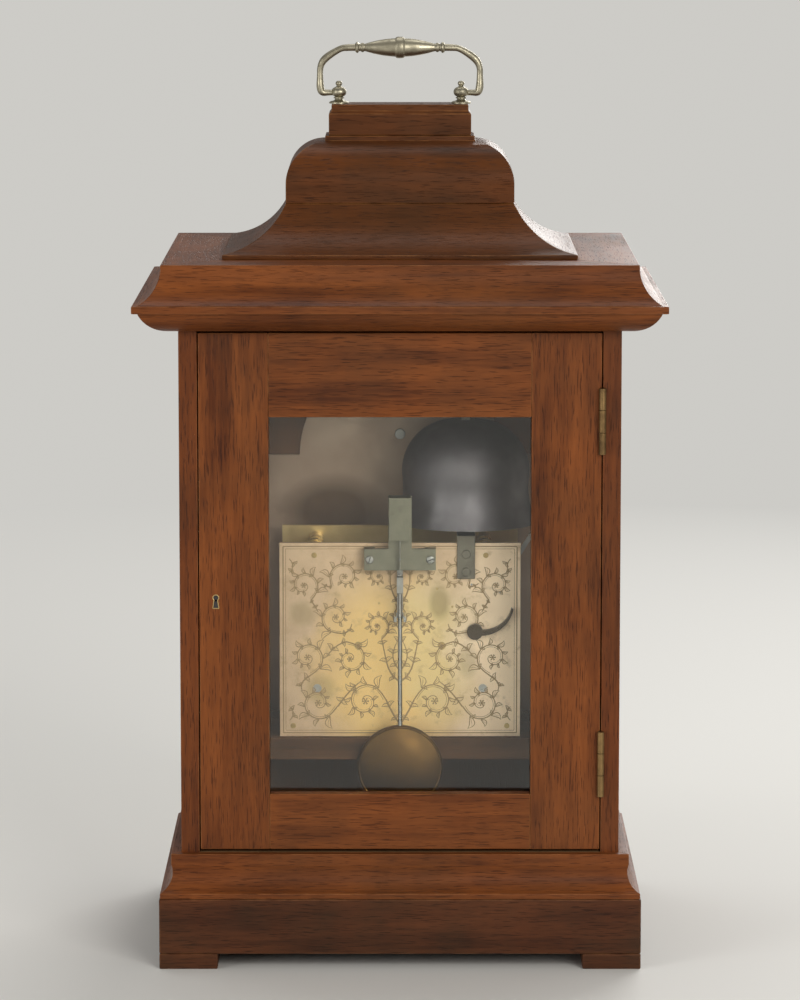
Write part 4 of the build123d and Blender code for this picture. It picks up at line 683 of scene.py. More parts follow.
def turned(profile, place, axis="y", steps=48):
    """A turned piece: the profile of (distance along the axis, radius) spun round the axis."""
    def draw():
        bpy.ops.mesh.merge(type="CENTER")
        bpy.ops.transform.translate(value=(profile[0][1], profile[0][0], 0))
        for (along, radius), (next_along, next_radius) in zip(profile, profile[1:]):
            bpy.ops.mesh.extrude_region_move(
                TRANSFORM_OT_translate={"value": (next_radius - radius, next_along - along, 0)})

    def spin():
        bpy.ops.mesh.spin(steps=steps, angle=2 * pi, center=(0, 0, 0), axis=(0, 1, 0))

    bpy.ops.mesh.primitive_plane_add(size=MM, location=(0, 0, 0))
    piece = worked(bpy.context.object, draw, spin, merge, face_outwards, mode="VERT")
    piece.rotation_euler = SPIN_AXIS_TURN[axis]
    piece.location = place
    return settled()


# Case, and the plain materials of the nodes that nothing replaces
joinery("plinth", DARK_MAHOGANY, 0.8)
joinery("base_moulding", MAHOGANY, 0.4)
joinery("case_boards", CARCASE, 0.5, along="x")
joinery("case_sides", SHADED_SIDE_MAHOGANY, 0.6, along="z", opened=True)
joinery("cornice", MAHOGANY, 0.4)
joinery("bell_top", CROWN_MAHOGANY, 0.6)
joinery("dial_mask", DARK_MAHOGANY, 0.4, along="z")
joinery("front_door_frame", MAHOGANY, 0.6)
joinery("back_door_frame", MAHOGANY, 0.6)
joinery("seatboard", SHADED_SEATBOARD_WOOD, 0.4)
for node, item in NODES.items():
    item.data.materials.clear()
    plain = {"mahogany": MAHOGANY["x"], "case_inside": CARCASE["x"], "glass": GLASS}.get(SLOT_OF[node])
    item.data.materials.append(plain or metal_of(node))


# Handle: turned pommels, and the bail with its baluster grip
POMMEL_HALF_WIDTH, PIVOT_HEIGHT, GRIP_RADIUS, BAIL_WIRE = mm([5.5, 6.0, 6.0, 2.0])
pommel_low, pommel_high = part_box("handle_pommels")
bail_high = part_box("handle_bail")[1]
pommel_x, pivot_z = pommel_high.x - POMMEL_HALF_WIDTH, pommel_low.z + PIVOT_HEIGHT
leg_x, grip_z = bail_high.x - BAIL_WIRE, bail_high.z - GRIP_RADIUS
POMMEL = [(0, 0), (0, 5.5), (0.7, 5.5), (1.2, 4.6), (1.5, 3.2), (2.0, 2.4), (2.6, 2.2), (2.9, 3.0), (3.3, 3.0),
          (3.6, 2.2), *arc_through((3.8, 2.4), (6.0, 4.2), (9.0, 2.2)), (9.5, 1.4), (9.9, 1.3),
          *arc_through((10.2, 1.6), (11.2, 1.9), (12.4, 0.0), 6)]
pommels = [turned(mm(POMMEL), (side * pommel_x, 0, pommel_low.z), "z", 36) for side in (-1, 1)]
made_for(joined(pommels), "handle_pommels", smooth=50)

# The bail's wire as points in mm from the pivot, from the foot of the leg, and from the grip's height above it
BAIL_RUNS = [((pommel_x, pivot_z), [(3.4, 0), (6.0, 0)]), ((leg_x, pivot_z), [(-1.0, -0.2), (0, 3.0), (0, 9.0)]),
             ((leg_x, grip_z), [(0, -10.5), (-2.5, -6.0), (-11.0, -0.6), (-15.0, 0), (-21.0, 0)])]
BAIL_RADII = mm([1.6, 1.6, 2.0, 2.2, 1.7, 1.7, 2.2, 1.7, 1.9, 2.0])
HALF_GRIP = [(-25.0, 0), (-25.0, 2.1), (-24.2, 3.0), (-23.4, 3.1), (-22.8, 2.2), (-22.0, 2.0), (-21.2, 2.6),
             (-20.4, 2.6), (-19.8, 2.1), *arc_through((-19.0, 2.2), (-11.0, 4.2), (-3.0, 5.1)), (-2.5, 5.2),
             (-2.0, 5.8), (-1.0, 6.0), (0.0, 6.0)]
GRIP = HALF_GRIP + [(-along, radius) for along, radius in reversed(HALF_GRIP[:-1])]
bail_side = [(x + out * MM, z + up * MM) for (x, z), run in BAIL_RUNS for out, up in run]
bail = [round_bar([(side * x, 0, z) for x, z in bail_side], BAIL_RADII) for side in (-1, 1)]
bail.append(turned(mm(GRIP), (0, 0, grip_z), "x", 36))
made_for(joined(bail), "handle_bail", smooth=50)


# Bell: turned, its wall a little thicker at the lip
bell_low, bell_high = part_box("bell")
bell_radius, bell_height = (bell_high.x - bell_low.x) / 2, bell_high.z - bell_low.z
BELL_WALL, BELL_FLAT, BELL_HOLE, FLARE_HEIGHT, FLARE_INSET, WAIST_INSET = mm([2.2, 7.0, 2.6, 12.0, 4.0, 4.5])
WAIST_HEIGHT = 0.42 * bell_height


def bell_side(shrink):
    """One side of the bell's wall, from its lip up to its flat top, as (height, radius)."""
    top = bell_height - shrink
    waist = (WAIST_HEIGHT, bell_radius - WAIST_INSET - shrink)
    run, drop = waist[1] - BELL_FLAT, top - waist[0]
    round_over = (run ** 2 + drop ** 2) / (2 * drop)
    shoulder = (top - round_over * (1 - cos(pi / 4)), BELL_FLAT + round_over * sin(pi / 4))
    lip = arc_through((0, bell_radius - shrink), (FLARE_HEIGHT, bell_radius - FLARE_INSET - shrink), waist, 12)
    return lip + arc_through(waist, shoulder, (top, BELL_FLAT), 20)[1:] + [(top, BELL_HOLE)]


outside, inside = bell_side(0), bell_side(BELL_WALL)
bell_middle = (bell_low + bell_high) / 2
made_for(turned(outside + inside[::-1] + outside[:1], (bell_middle.x, bell_middle.y, bell_low.z), "z", 96), "bell",
         smooth=40)


# Dial: numerals, tracks and figures in wax
WAX_DEPTH = 0.05 * MM


def on_dial(radius, hour):
    """The place (x, z) at a distance from the dial's centre, in the direction of an hour."""
    return polar(radius, 90 - 30 * hour, (DIAL_CENTRE.x, DIAL_CENTRE.z))


def stroke(start, end, width, face, depth=WAX_DEPTH):
    """A flat bar from one place (x, z) to another, standing a little proud of a face."""
    run, rise = end[0] - start[0], end[1] - start[1]
    bpy.ops.mesh.primitive_cube_add(
        size=1, location=((start[0] + end[0]) / 2, face, (start[1] + end[1]) / 2),
        rotation=(0, atan2(run, rise), 0), scale=(width, 2 * depth, hypot(run, rise)))
    return bpy.context.object


# Each letter of a Roman numeral: bars as (x, height, x, height, width) in shares of its height, and its advance
THICK, THIN, SERIF = 0.17, 0.05, 0.045
LETTERS = {
    "I": ([(0, 0, 0, 1, THICK), (-0.2, 0, 0.2, 0, SERIF), (-0.2, 1, 0.2, 1, SERIF)], 0.37),
    "V": ([(-0.3, 1, 0.02, 0, THICK), (0.3, 1, 0.02, 0, THIN), (-0.48, 1, -0.12, 1, SERIF),
           (0.16, 1, 0.44, 1, SERIF)], 0.84),
    "X": ([(-0.3, 1, 0.3, 0, THICK), (0.3, 1, -0.3, 0, THIN), (-0.46, 1, -0.12, 1, SERIF),
           (0.14, 1, 0.44, 1, SERIF), (-0.44, 0, -0.14, 0, SERIF), (0.12, 0, 0.46, 0, SERIF)], 0.84),
}
HOURS = ["XII", "I", "II", "III", "IIII", "V", "VI", "VII", "VIII", "IX", "X", "XI"]
NUMERAL_FOOT, NUMERAL_HEIGHT = 0.738 * RING_RADIUS, 9.9 * MM
FIGURE_FOOT, FIGURE_HEIGHT = 0.914 * RING_RADIUS, 4.0 * MM
LOZENGE_RADIUS, LOZENGE_SIZE = 0.81 * RING_RADIUS, 2.3 * MM
MINUTE_TRACK = (0.878 * RING_RADIUS, 0.902 * RING_RADIUS)
QUARTER_TRACK = (0.705 * RING_RADIUS, 0.725 * RING_RADIUS)


def hour_numeral(hour):
    """The bars of one hour numeral, its foot to the centre."""
    turn, numeral, bars = radians(30 * hour), HOURS[hour], []
    advance = -sum(LETTERS[letter][1] for letter in numeral) / 2
    for letter in numeral:
        shapes, width = LETTERS[letter]
        for *places, thickness in shapes:
            ends = []
            for x, z in (places[:2], places[2:]):
                across, out = (advance + width / 2 + x) * NUMERAL_HEIGHT, NUMERAL_FOOT + z * NUMERAL_HEIGHT
                ends.append((DIAL_CENTRE.x + across * cos(turn) + out * sin(turn),
                             DIAL_CENTRE.z - across * sin(turn) + out * cos(turn)))
            bars.append(stroke(*ends, thickness * NUMERAL_HEIGHT, RING_FACE))
        advance += width
    return bars


def minute_figure(hour):
    """The minutes of one hour mark, outside the minute track and with their foot to the centre."""
    bpy.ops.object.text_add(location=(0, 0, 0))
    text = bpy.context.object.data
    text.body = str(5 * hour)
    text.size = FIGURE_HEIGHT * 1.4
    text.align_x = "CENTER"
    text.extrude = WAX_DEPTH
    text.offset = FIGURE_HEIGHT * 0.012
    bpy.ops.object.convert(target="MESH")
    figure = closed(bpy.context.object)
    figure.rotation_euler = (pi / 2, radians(30 * hour), 0)
    x, z = on_dial(FIGURE_FOOT, hour)
    figure.location = (x, RING_FACE, z)
    return figure


def half_hour_mark(hour):
    """After a numeral, a small lozenge on a stem with a short bar across."""
    near, far = LOZENGE_RADIUS - LOZENGE_SIZE, LOZENGE_RADIUS + LOZENGE_SIZE
    low, wide = LOZENGE_RADIUS - LOZENGE_SIZE * 0.3, LOZENGE_RADIUS + LOZENGE_SIZE * 0.2
    return [stroke(on_dial(near, hour), on_dial(far, hour), LOZENGE_SIZE * 0.28, RING_FACE)] + [
        stroke(on_dial(wide, hour + side), on_dial(low, hour), LOZENGE_SIZE * 0.32, RING_FACE)
        for side in (-0.055, 0.055)]


def divisions(count, inner, outer, width):
    """Equal division marks round the dial between two radii."""
    def repeat():
        bpy.ops.mesh.spin(steps=count - 1, dupli=True, angle=2 * pi * (count - 1) / count,
                          center=(DIAL_CENTRE.x, RING_FACE, DIAL_CENTRE.z), axis=(0, 1, 0))

    stroke(on_dial(inner, 0), on_dial(outer, 0), width * MM, RING_FACE)
    return worked(settled(), repeat)


def circle_line(radius, width=0.3 * MM):
    """An engraved circle, filled with wax."""
    bpy.ops.mesh.primitive_torus_add(
        location=(DIAL_CENTRE.x, RING_FACE, DIAL_CENTRE.z), rotation=(pi / 2, 0, 0), major_radius=radius,
        minor_radius=width / 2, major_segments=120, minor_segments=6)
    bpy.context.object.scale.z = 2 * WAX_DEPTH / width
    return bpy.context.object


wax = [bar for hour in range(12) for bar in hour_numeral(hour)]
wax += [minute_figure(hour) for hour in range(1, 13)]
wax += [bar for hour in range(12) for bar in half_hour_mark(hour + 0.5)]
wax += [divisions(60, *MINUTE_TRACK, 0.35), divisions(12, *MINUTE_TRACK, 0.9), divisions(48, *QUARTER_TRACK, 0.35)]
wax += [circle_line(radius) for radius in (*MINUTE_TRACK, *QUARTER_TRACK, 0.985 * RING_RADIUS)]
painted(joined(wax), "chapter_ring_numerals", "case", "silvered_brass", BLACK_WAX_AND_SHADE)
fitting("chapter_ring", 0.2)


# Spandrels: cast scrolls as points and widths in mm, from their corner inwards or from the table in the arch
SPANDREL_SCROLLS = [
    ([(4.5, 12), (4.4, 6), (9, 3.4), (17, 3.2), (26, 4.6), (33, 8.6), (34, 13), (30.5, 15), (28, 12.6), (29.6, 10.6)],
     [1.2, 3.2, 4.0, 4.2, 3.8, 3.2, 2.7, 2.2, 1.8, 1.2]),
    ([(11, 11), (15, 8.8), (20.5, 9.8), (23.5, 14), (21, 18.4), (16.6, 17.4), (16.8, 14.2)],
     [1.4, 3.2, 3.2, 2.8, 2.4, 1.8, 1.2]),
    ([(28, 5), (34, 5.8), (39, 4.2), (43, 1.6)], [1.8, 3.2, 2.4, 0.5]),
    ([(22, 4), (24.5, 8.2), (23.4, 12)], [1.2, 2.6, 0.6]),
    ([(30, 7), (36, 8.6), (38.6, 12.4), (36.4, 14.6)], [0.9, 2.2, 1.6, 0.7]),
    ([(13, 9.5), (12.4, 5.5), (14.8, 2.2)], [0.9, 2.2, 0.8]),
    ([(20, 16.5), (25, 19), (27, 17.4)], [0.8, 1.8, 0.5]),
]
SHELL_FOOT = (5.2, 5.2)
SHELL_LOBES = [([SHELL_FOOT, polar(7, turn, SHELL_FOOT), polar(12, turn, SHELL_FOOT)], [1.2, 2.8, 2.2])
               for turn in (14, 29.5, 45, 60.5, 76)]
ARCH_SCROLLS = [
    (curl((43, 269), 6.6, 100, 420, 0.2, 11), tapering(3.2, 1.2, 11, 0.6)),
    ([(41.9, 275.2), (38, 280), (35.5, 286.5), (36.4, 292)], [1.4, 3.6, 3.0, 0.7]),
    ([(49, 268), (52.6, 264.5), (51.5, 258.6), (46, 258.2)], [1.6, 3.2, 2.4, 0.9]),
    ([(36.6, 268), (36.2, 262), (40.4, 258.4), (45, 259.6)], [0.9, 2.4, 2.2, 0.9]),
]
CASTING_DEPTH = 3.6 * MM
CASTING_MIDDLE = DIAL_FACE - 0.4 * MM


def casting(scrolls):
    """Scrolls drawn in metres, as one casting on the dial."""
    return joined([ribbon(places, mm(widths), CASTING_MIDDLE, CASTING_DEPTH, steps=4) for places, widths in scrolls])


spandrel_low, spandrel_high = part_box("spandrels")
corner_x, corner_z = spandrel_high.x, 2 * DIAL_CENTRE.z - spandrel_low.z
upright = [([(z, x) for x, z in places], widths) for places, widths in SPANDREL_SCROLLS]
upper_right = casting([([(corner_x - x * MM, corner_z - z * MM) for x, z in places], widths)
                       for places, widths in SPANDREL_SCROLLS + upright + SHELL_LOBES])
castings = [upper_right] + [mirrored_copy(upper_right, x_sign, z_sign, DIAL_CENTRE.z)
                            for x_sign, z_sign in ((-1, 1), (1, -1), (-1, -1))]
right_arch = casting([(mm(places), widths) for places, widths in ARCH_SCROLLS])
castings = joined(castings + [right_arch, mirrored_copy(right_arch, -1, 1)])
painted(castings, "spandrel_castings", "case", "gilt_brass", smooth=60)
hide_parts("spandrels")


# Strike and silent sector, its marks, and the collets round the winding holes
silent_low, silent_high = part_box("strike_silent_hand")
SILENT_HUB, SECTOR_INNER, SECTOR_OUTER, MARK_FOOT, MARK_TOP, TICK_TOP = mm([3.0, 22.5, 31.5, 24.0, 30.0, 26.0])
SILENT_AT = ((silent_low.x + silent_high.x) / 2, silent_low.z + SILENT_HUB)
SECTOR_FACE, SECTOR_BACK = DIAL_FACE - 0.7 * MM, DIAL_FACE + 0.2 * MM
SECTOR_SWEEP, STRIKE_TURN = 150.0, 40.0


def sector():
    """The flat band round the hand's arbor, from one side of its top to the other."""
    bpy.ops.mesh.primitive_plane_add(size=1, location=(0, 0, 0), rotation=(0, pi / 2, 0))
    band = bpy.context.object
    band.scale = (SECTOR_OUTER - SECTOR_INNER, SECTOR_BACK - SECTOR_FACE, 1)
    band.location = (SILENT_AT[0], (SECTOR_BACK + SECTOR_FACE) / 2, SILENT_AT[1] + (SECTOR_INNER + SECTOR_OUTER) / 2)
    hub = (SILENT_AT[0], 0, SILENT_AT[1])

    def sweep():
        bpy.ops.transform.rotate(value=radians(SECTOR_SWEEP / 2), orient_axis="Y", center_override=hub)
        bpy.ops.mesh.spin(steps=48, angle=-radians(SECTOR_SWEEP), center=hub, axis=(0, 1, 0))

    return worked(settled(), sweep, face_outwards)


def sector_mark(turn, top, width):
    return stroke(polar(MARK_FOOT, 90 - turn, SILENT_AT), polar(top, 90 - turn, SILENT_AT), width * MM, SECTOR_FACE)


painted(sector(), "strike_silent_sector", "case", "silvered_brass")
marks = [sector_mark(turn, MARK_TOP, 1.3) for turn in (-STRIKE_TURN, STRIKE_TURN)]
marks += [sector_mark(step * 10, TICK_TOP, 0.35) for step in range(-7, 8)]
painted(joined(marks), "strike_silent_marks", "case", "silvered_brass", BLACK_WAX_AND_SHADE)

fusee_low, fusee_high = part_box("going_fusee")
fusee_middle = (fusee_low + fusee_high) / 2
COLLET = [(0.3, 5.05), (0.3, 7.2), (-0.1, 7.2), (-0.5, 6.7), (-0.8, 6.0), (-0.8, 5.4), (-0.5, 5.05), (0.3, 5.05)]
collets = [turned(mm(COLLET), (side * fusee_middle.x, DIAL_FACE, fusee_middle.z)) for side in (-1, 1)]
painted(joined(collets), "winding_hole_collets", "case", "gilt_brass", smooth=30)


# Hands: pierced and blued, each of strips (points and widths, mm up from its arbor) round a ring
HOUR_STRIPS = [
    ([(0, 4.5), (0, 9), (0, 13)], [3.2, 1.8, 2.4]),
    ([(0, 12), (3.2, 12.2), (6.6, 16), (6.2, 22), (2.6, 27), (0, 31)], [1.6, 1.6, 1.7, 1.5, 1.4, 1.6]),
    ([(0.3, 21), (2.0, 23.4), (4.3, 21.5), (3.9, 17.6), (1.6, 16.6), (1.3, 18.6)], [1.2, 1.2, 1.1, 1.0, 0.9, 1.3]),
    ([(0, 12.5), (0, 17), (0, 22)], [1.4, 1.0, 1.2]),
    ([(0.2, 29), (2.6, 30), (4.6, 28.6), (4.7, 26.8)], [1.4, 1.4, 1.1, 0.9]),
    ([(0, 28), (0, 33), (0, 37), (0, 44)], [1.8, 2.6, 3.4, 0.4]),
]
MINUTE_STRIPS = [
    ([(0, 3.4), (0, 8), (0, 12)], [3.0, 1.6, 2.2]),
    ([(0, 11.5), (2.6, 13), (2.9, 17), (1.4, 21.5), (0, 25)], [1.3, 1.4, 1.3, 1.2, 1.4]),
    ([(0, 24), (0, 27), (0, 40), (0, 55), (0, 67)], [1.8, 2.4, 1.7, 1.5, 0.5]),
    ([(0.2, 24.5), (2.2, 26), (3.4, 24.6)], [1.2, 1.2, 0.8]),
    ([(0, -3.4), (0, -7), (0, -9)], [2.6, 1.5, 2.0]),
    ([(0, -9), (2.2, -10), (2.2, -12), (0, -13)], [1.2, 1.2, 1.2, 1.2]),
]
SILENT_STRIPS = [([(0, 2.4), (0, 8), (0, 17)], [2.6, 1.3, 1.2]), ([(0, 16), (0, 19), (0, 25)], [1.4, 3.0, 0.4])]
SILENT_ARBOR = [(-2.0, 0), (-2.0, 1.2), (-1.8, 1.45), (2.9, 1.45), (3.0, 2.8), (3.2, 3.0), (4.0, 3.0), (4.2, 2.8),
                (4.2, 0)]


def washer(middle, front, back, inner, outer):
    """A flat ring with eased edges, parallel to the dial."""
    ease = 0.2 * MM
    shape = [(front, inner), (front, outer - ease), (front + ease, outer), (back - ease, outer),
             (back, outer - ease), (back, inner), (front, inner)]
    return turned(shape, (middle[0], 0, middle[1]), "y", 40)


def hand_of(node, strips, inner, outer, name, base, front=None, back=None):
    """A hand from its strips, each drawn on both sides unless it is straight, and the ring round its arbor."""
    low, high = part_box(node)
    front, back = front or low.y, back or high.y
    parts = []
    for places, widths in strips:
        for sign in (-1, 1) if any(abs(x) >= 0.01 for x, _ in places) else (1,):
            drawn = [(DIAL_CENTRE.x + sign * x * MM, base + z * MM) for x, z in places]
            parts.append(ribbon(drawn, mm(widths), (front + back) / 2, back - front))
    parts.append(washer((DIAL_CENTRE.x, base), front, back, inner * MM, outer * MM))
    made_for(joined(parts), node, name, smooth=50)


hand_of("hour_hand", HOUR_STRIPS, 3.62, 5.4, "hour_hand_pierced", DIAL_CENTRE.z)
hand_of("minute_hand", MINUTE_STRIPS, 2.57, 4.2, "minute_hand_pierced", DIAL_CENTRE.z)
hand_of("strike_silent_hand", SILENT_STRIPS, 1.4, 2.8, "strike_silent_hand_blade", SILENT_AT[1],
        DIAL_FACE - 2.0 * MM, DIAL_FACE - 1.0 * MM)
painted(turned(mm(SILENT_ARBOR), (SILENT_AT[0], DIAL_FACE, SILENT_AT[1]), "y", 24), "strike_silent_arbor",
        BODY_OF["strike_silent_hand"], "steel", smooth=40)


# Engraving of the back plate: borders, and foliage in scrolls, the left half the right one turned over
CUT_DEPTH, CUT_FLATNESS = 0.07 * MM, 0.2
BORDERS = ((2.0, 0.6), (3.4, 0.25))
# Scrolls: middle, radius, start and sweep, in mm and degrees from the middle of the plate
SCROLLS = [
    ((19.5, -35), 11.5, 175, -520), ((46, -36), 11.0, 190, 500), ((52, -10), 10.5, 262, -500),
    ((28, -11), 10.0, 80, 480), ((13, 8), 8.0, 250, -460), ((36, 13), 10.0, 250, 480),
    ((54, 31), 9.5, 245, -470), ((31, 36), 9.5, 320, 480), ((12, 36), 7.5, 210, -460),
]
BRANCH = [0.5, 0.9, 0.85]
STEMS = [
    ([(0, -48), (4, -43), (8.0, -34)], [1.2, 1.0, 0.85]),
    ([(22, -23.6), (28, -28), (35, -38)], BRANCH),
    ([(55, -29), (57, -24), (50.5, -20.4)], BRANCH),
    ([(41.5, -10), (36, -2), (29.7, -1.1)], BRANCH),
    ([(0, -24), (6, -20), (9, -6), (10.3, 0.5)], [1.1, 0.9, 0.7, 0.6]),
    ([(27, 9), (28, 4), (32.6, 3.6)], BRANCH),
    ([(46, 16), (48, 20), (50, 22.4)], BRANCH),
    ([(44, 32), (41, 30), (38.3, 29.9)], BRANCH),
    ([(0, 20), (4, 24), (5.5, 32.3)], [1.1, 0.9, 0.7]),
    ([(0, -18), (4.5, -12), (3.5, -4), (0, 2)], [0.9, 0.7, 0.6, 0.3]),
    ([(0, 6), (4, 10), (3.6, 16), (0, 20)], [0.9, 0.7, 0.6, 0.3]),
    ([(0, 46), (5, 47.5), (11, 46), (16, 48)], [0.5, 0.9, 0.8, 0.3]),
    ([(62, -46), (58, -42), (62, -38)], [0.4, 0.9, 0.4]),
    ([(62, 46), (58, 42), (62, 38)], [0.4, 0.9, 0.4]),
]


def leaf(root, heading, length, way):
    """An outlined leaf with its vein: it leaves its stem along a heading and curls back to its tip."""
    spine, angle = [root], heading
    edges = [[root], [root]]
    for share, bend, fullness in ((0.36, 34, 0.2), (0.34, 58, 0.17), (0.3, 60, 0.0)):
        x, z = spine[-1][0] + share * length * cos(angle), spine[-1][1] + share * length * sin(angle)
        spine.append((x, z))
        for edge, side in zip(edges, (-1, 1)):
            edge.append((x - side * fullness * length * sin(angle), z + side * fullness * length * cos(angle)))
        angle -= way * radians(bend)
    return [(edge, [0.3, 0.6, 0.45, 0.2]) for edge in edges] + [(spine[:3], [0.25, 0.3, 0.1])]


def foliage(middle, radius, start, sweep):
    """A scroll that winds in to a flower, with leaves that curl off both of its sides."""
    count, way = 14, 1 if sweep > 0 else -1
    stem = curl(middle, radius, start, sweep, 0.16, count)
    cuts = [(stem, tapering(0.75, 0.4, count)),
            (curl(middle, radius * 0.88, start, sweep * 0.8, 0.24, count), tapering(0.3, 0.2, count))]
    for step in range(1, count - 4):
        x, z = stem[step]
        along = atan2(z - middle[1], x - middle[0]) + way * pi / 2
        reach = hypot(x - middle[0], z - middle[1])
        cuts += leaf((x, z), along - way * radians(20), reach * (0.85 if step % 2 else 0.6), way)
        if step % 2:
            cuts += leaf((x, z), along + way * radians(26), reach * 0.42, -way)
    return cuts + [([middle, polar(radius * 0.17, 60 * petal, middle)], [0.3, 1.0]) for petal in range(6)]


def on_plate(x, z):
    return PLATE_MIDDLE.x + x * MM, PLATE_MIDDLE.z + z * MM


cuts = [cut for scroll in SCROLLS for cut in foliage(*scroll)]
for places, widths in STEMS:
    cuts.append((places, widths))
    for (x, z), (next_x, next_z) in zip(places, places[1:]):
        heading, length = atan2(next_z - z, next_x - x), hypot(next_x - x, next_z - z)
        for way in (-1, 1):
            cuts += leaf(((x + next_x) / 2, (z + next_z) / 2), heading - way * radians(25), min(0.6 * length, 5.5), way)
cuts = [([on_plate(x, z) for x, z in places], mm(widths)) for places, widths in cuts]
half_engraving = ribbons(cuts, PLATE_HIGH.y, CUT_FLATNESS, sides=0, steps=3)
borders = []
for inset, width in BORDERS:
    left, low = PLATE_LOW.x + inset * MM, PLATE_LOW.z + inset * MM
    right, high = PLATE_HIGH.x - inset * MM, PLATE_HIGH.z - inset * MM
    corners = [(left, low), (right, low), (right, high), (left, high)]
    borders += [stroke(start, end, width * MM, PLATE_HIGH.y, CUT_DEPTH / 2)
                for start, end in zip(corners, corners[1:] + corners[:1])]
painted(joined([half_engraving, mirrored_copy(half_engraving, -1, 1)] + borders), "back_plate_engraving", "case",
        "engraved_brass", ENGRAVED_LINE)
fitting("back_plate", 0.25)


# Side frets: rows of fish scales inside a rim, sawn from brass
fret_low, fret_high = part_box("side_frets")
FRET_LAP, FRET_THICKNESS, SCALE_RADIUS, SCALE_BAR, RIM_COVER = mm([4.8, 1.5, 5.1, 1.3, 1.2])
FRET_HALF = (fret_high.y - fret_low.y) / 2
FRET_SPRING = fret_high.z - FRET_HALF


def fits_fret(across, height):
    """Whether a place lies inside the middle of the fret's rim."""
    reach = FRET_HALF - RIM_COVER
    if height > FRET_SPRING:
        return hypot(across, height - FRET_SPRING) < reach
    return abs(across) < reach and height > fret_low.z + RIM_COVER


def scale_row(scale, height, shift):
    """One row of scales as wide as the fret is at its height."""
    places = [number * 2 * SCALE_RADIUS + shift for number in range(-5, 6)]
    places = [place for place in places if all(fits_fret(place + side * SCALE_RADIUS, height) for side in (-1, 1))]
    if not places or not fits_fret(0, height - SCALE_RADIUS):
        return []
    row = copy_of(scale)
    row.location = (min(places), 0, height)
    repeat = row.modifiers.new("row", "ARRAY")
    repeat.count = len(places)
    repeat.use_relative_offset = False
    repeat.use_constant_offset = True
    repeat.constant_offset_displace = (2 * SCALE_RADIUS, 0, 0)
    bpy.ops.object.modifier_apply(modifier=repeat.name)
    return [row]


def fret():
    """The fret on the right side of the case."""
    arc = [polar(SCALE_RADIUS, turn) for turn in (180, 205, 237.5, 270, 302.5, 335, 360)]
    scale = ribbon(arc, [SCALE_BAR] * len(arc), 0, FRET_THICKNESS * 0.9, sides=0, steps=2)
    rows = []
    for number in range(40):
        rows += scale_row(scale, fret_low.z + SCALE_RADIUS * (number + 1.4), SCALE_RADIUS * (number % 2))
    remove(scale)
    inner, foot, spring = FRET_HALF - FRET_LAP / 2, fret_low.z + FRET_LAP / 2, FRET_SPRING - 2 * MM
    arch = [polar(inner, turn, (0, FRET_SPRING)) for turn in range(0, 181, 12)]
    edge = FRET_HALF - 0.1 * MM
    rim = [[(-edge, foot), (0, foot), (edge, foot)],
           [(inner, foot), (inner, spring), *arch, (-inner, spring), (-inner, foot)]]
    band = ribbons([(run, [FRET_LAP * 0.96] * len(run)) for run in rim], 0, FRET_THICKNESS / FRET_LAP, 1, 3)
    whole = joined([band] + rows)
    settled()
    whole.rotation_euler.z = pi / 2
    whole.location = (fret_high.x - FRET_THICKNESS / 2, (fret_low.y + fret_high.y) / 2, 0)
    return settled()


right_fret = fret()
made_for(joined([right_fret, mirrored_copy(right_fret, -1, 1)]), "side_frets", "side_frets_pierced", smooth=40)


# Gut: the straight runs, laid up from three strands, and the turns on the barrels
STRAND, STRAND_PITCH, GUT_RADIUS, RUN_END = mm([0.32, 2.2, 0.55, 2.0])


def twisted(run):
    """Three strands twisted round a straight line that runs across the clock."""
    low, high = corners_of(run)
    places = [vertex.co for vertex in run.data.vertices]
    ends = []
    for edge in (low.x, high.x):
        near = [place for place in places if abs(place.x - edge) < RUN_END]
        ends.append(sum(near, Vector()) / len(near))
    start, line = ends[0], ends[1] - ends[0]
    across = line.normalized().cross(Vector((0, 1, 0))).normalized()
    side = line.normalized().cross(across)
    count = max(8, int(line.length / STRAND_PITCH * 6))
    strands = []
    for strand in range(3):
        turns = [2 * pi * (step / 6 + strand / 3) for step in range(count + 1)]
        strands.append(round_bar([start + line * (step / count) + (across * cos(turn) + side * sin(turn)) * STRAND * 0.9
                                  for step, turn in enumerate(turns)], [STRAND] * (count + 1), steps=1))
    remove(run)
    return strands


made_for(joined([strand for run in solids_of("gut_lines") for strand in twisted(run)]), "gut_lines",
         "gut_lines_twisted", smooth=60)


def wound(node, turns=8, first=12.0 * MM, pitch=1.3 * MM):
    """Turns of the line round a barrel, from its rear end forwards."""
    low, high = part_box(node)
    middle, radius = (low + high) / 2, (high.x - low.x) / 2 + GUT_RADIUS
    places = []
    for step in range(turns * 10 + 1):
        x, z = polar(radius, 36 * step, (middle.x, middle.z))
        places.append((x, high.y - first - pitch * step / 10, z))
    painted(round_bar(places, [GUT_RADIUS] * len(places), steps=2), node + "_line", BODY_OF[node], "gut", smooth=60)


wound("going_barrel")
wound("strike_barrel")


# Screws: one head and its slot, a dark bar painted as the slot's shade, copied to the back cock and the hinge leaves
LOOKING = {"y": 0, "-y": pi, "x": -pi / 2, "-x": pi / 2}
HEAD = turned([(-0.3, 0), (-0.3, 1), (0.55, 1), (0.9, 0.88), (1, 0.7), (1, 0)], (0, 0, 0), "y", 20)
# The slot is a black bar on the head, painted shade rather than a cut
bpy.ops.mesh.primitive_cube_add(size=1, location=(0, 1, 0), scale=(1.66, 0.24, 0.24))
SLOT = bpy.context.object


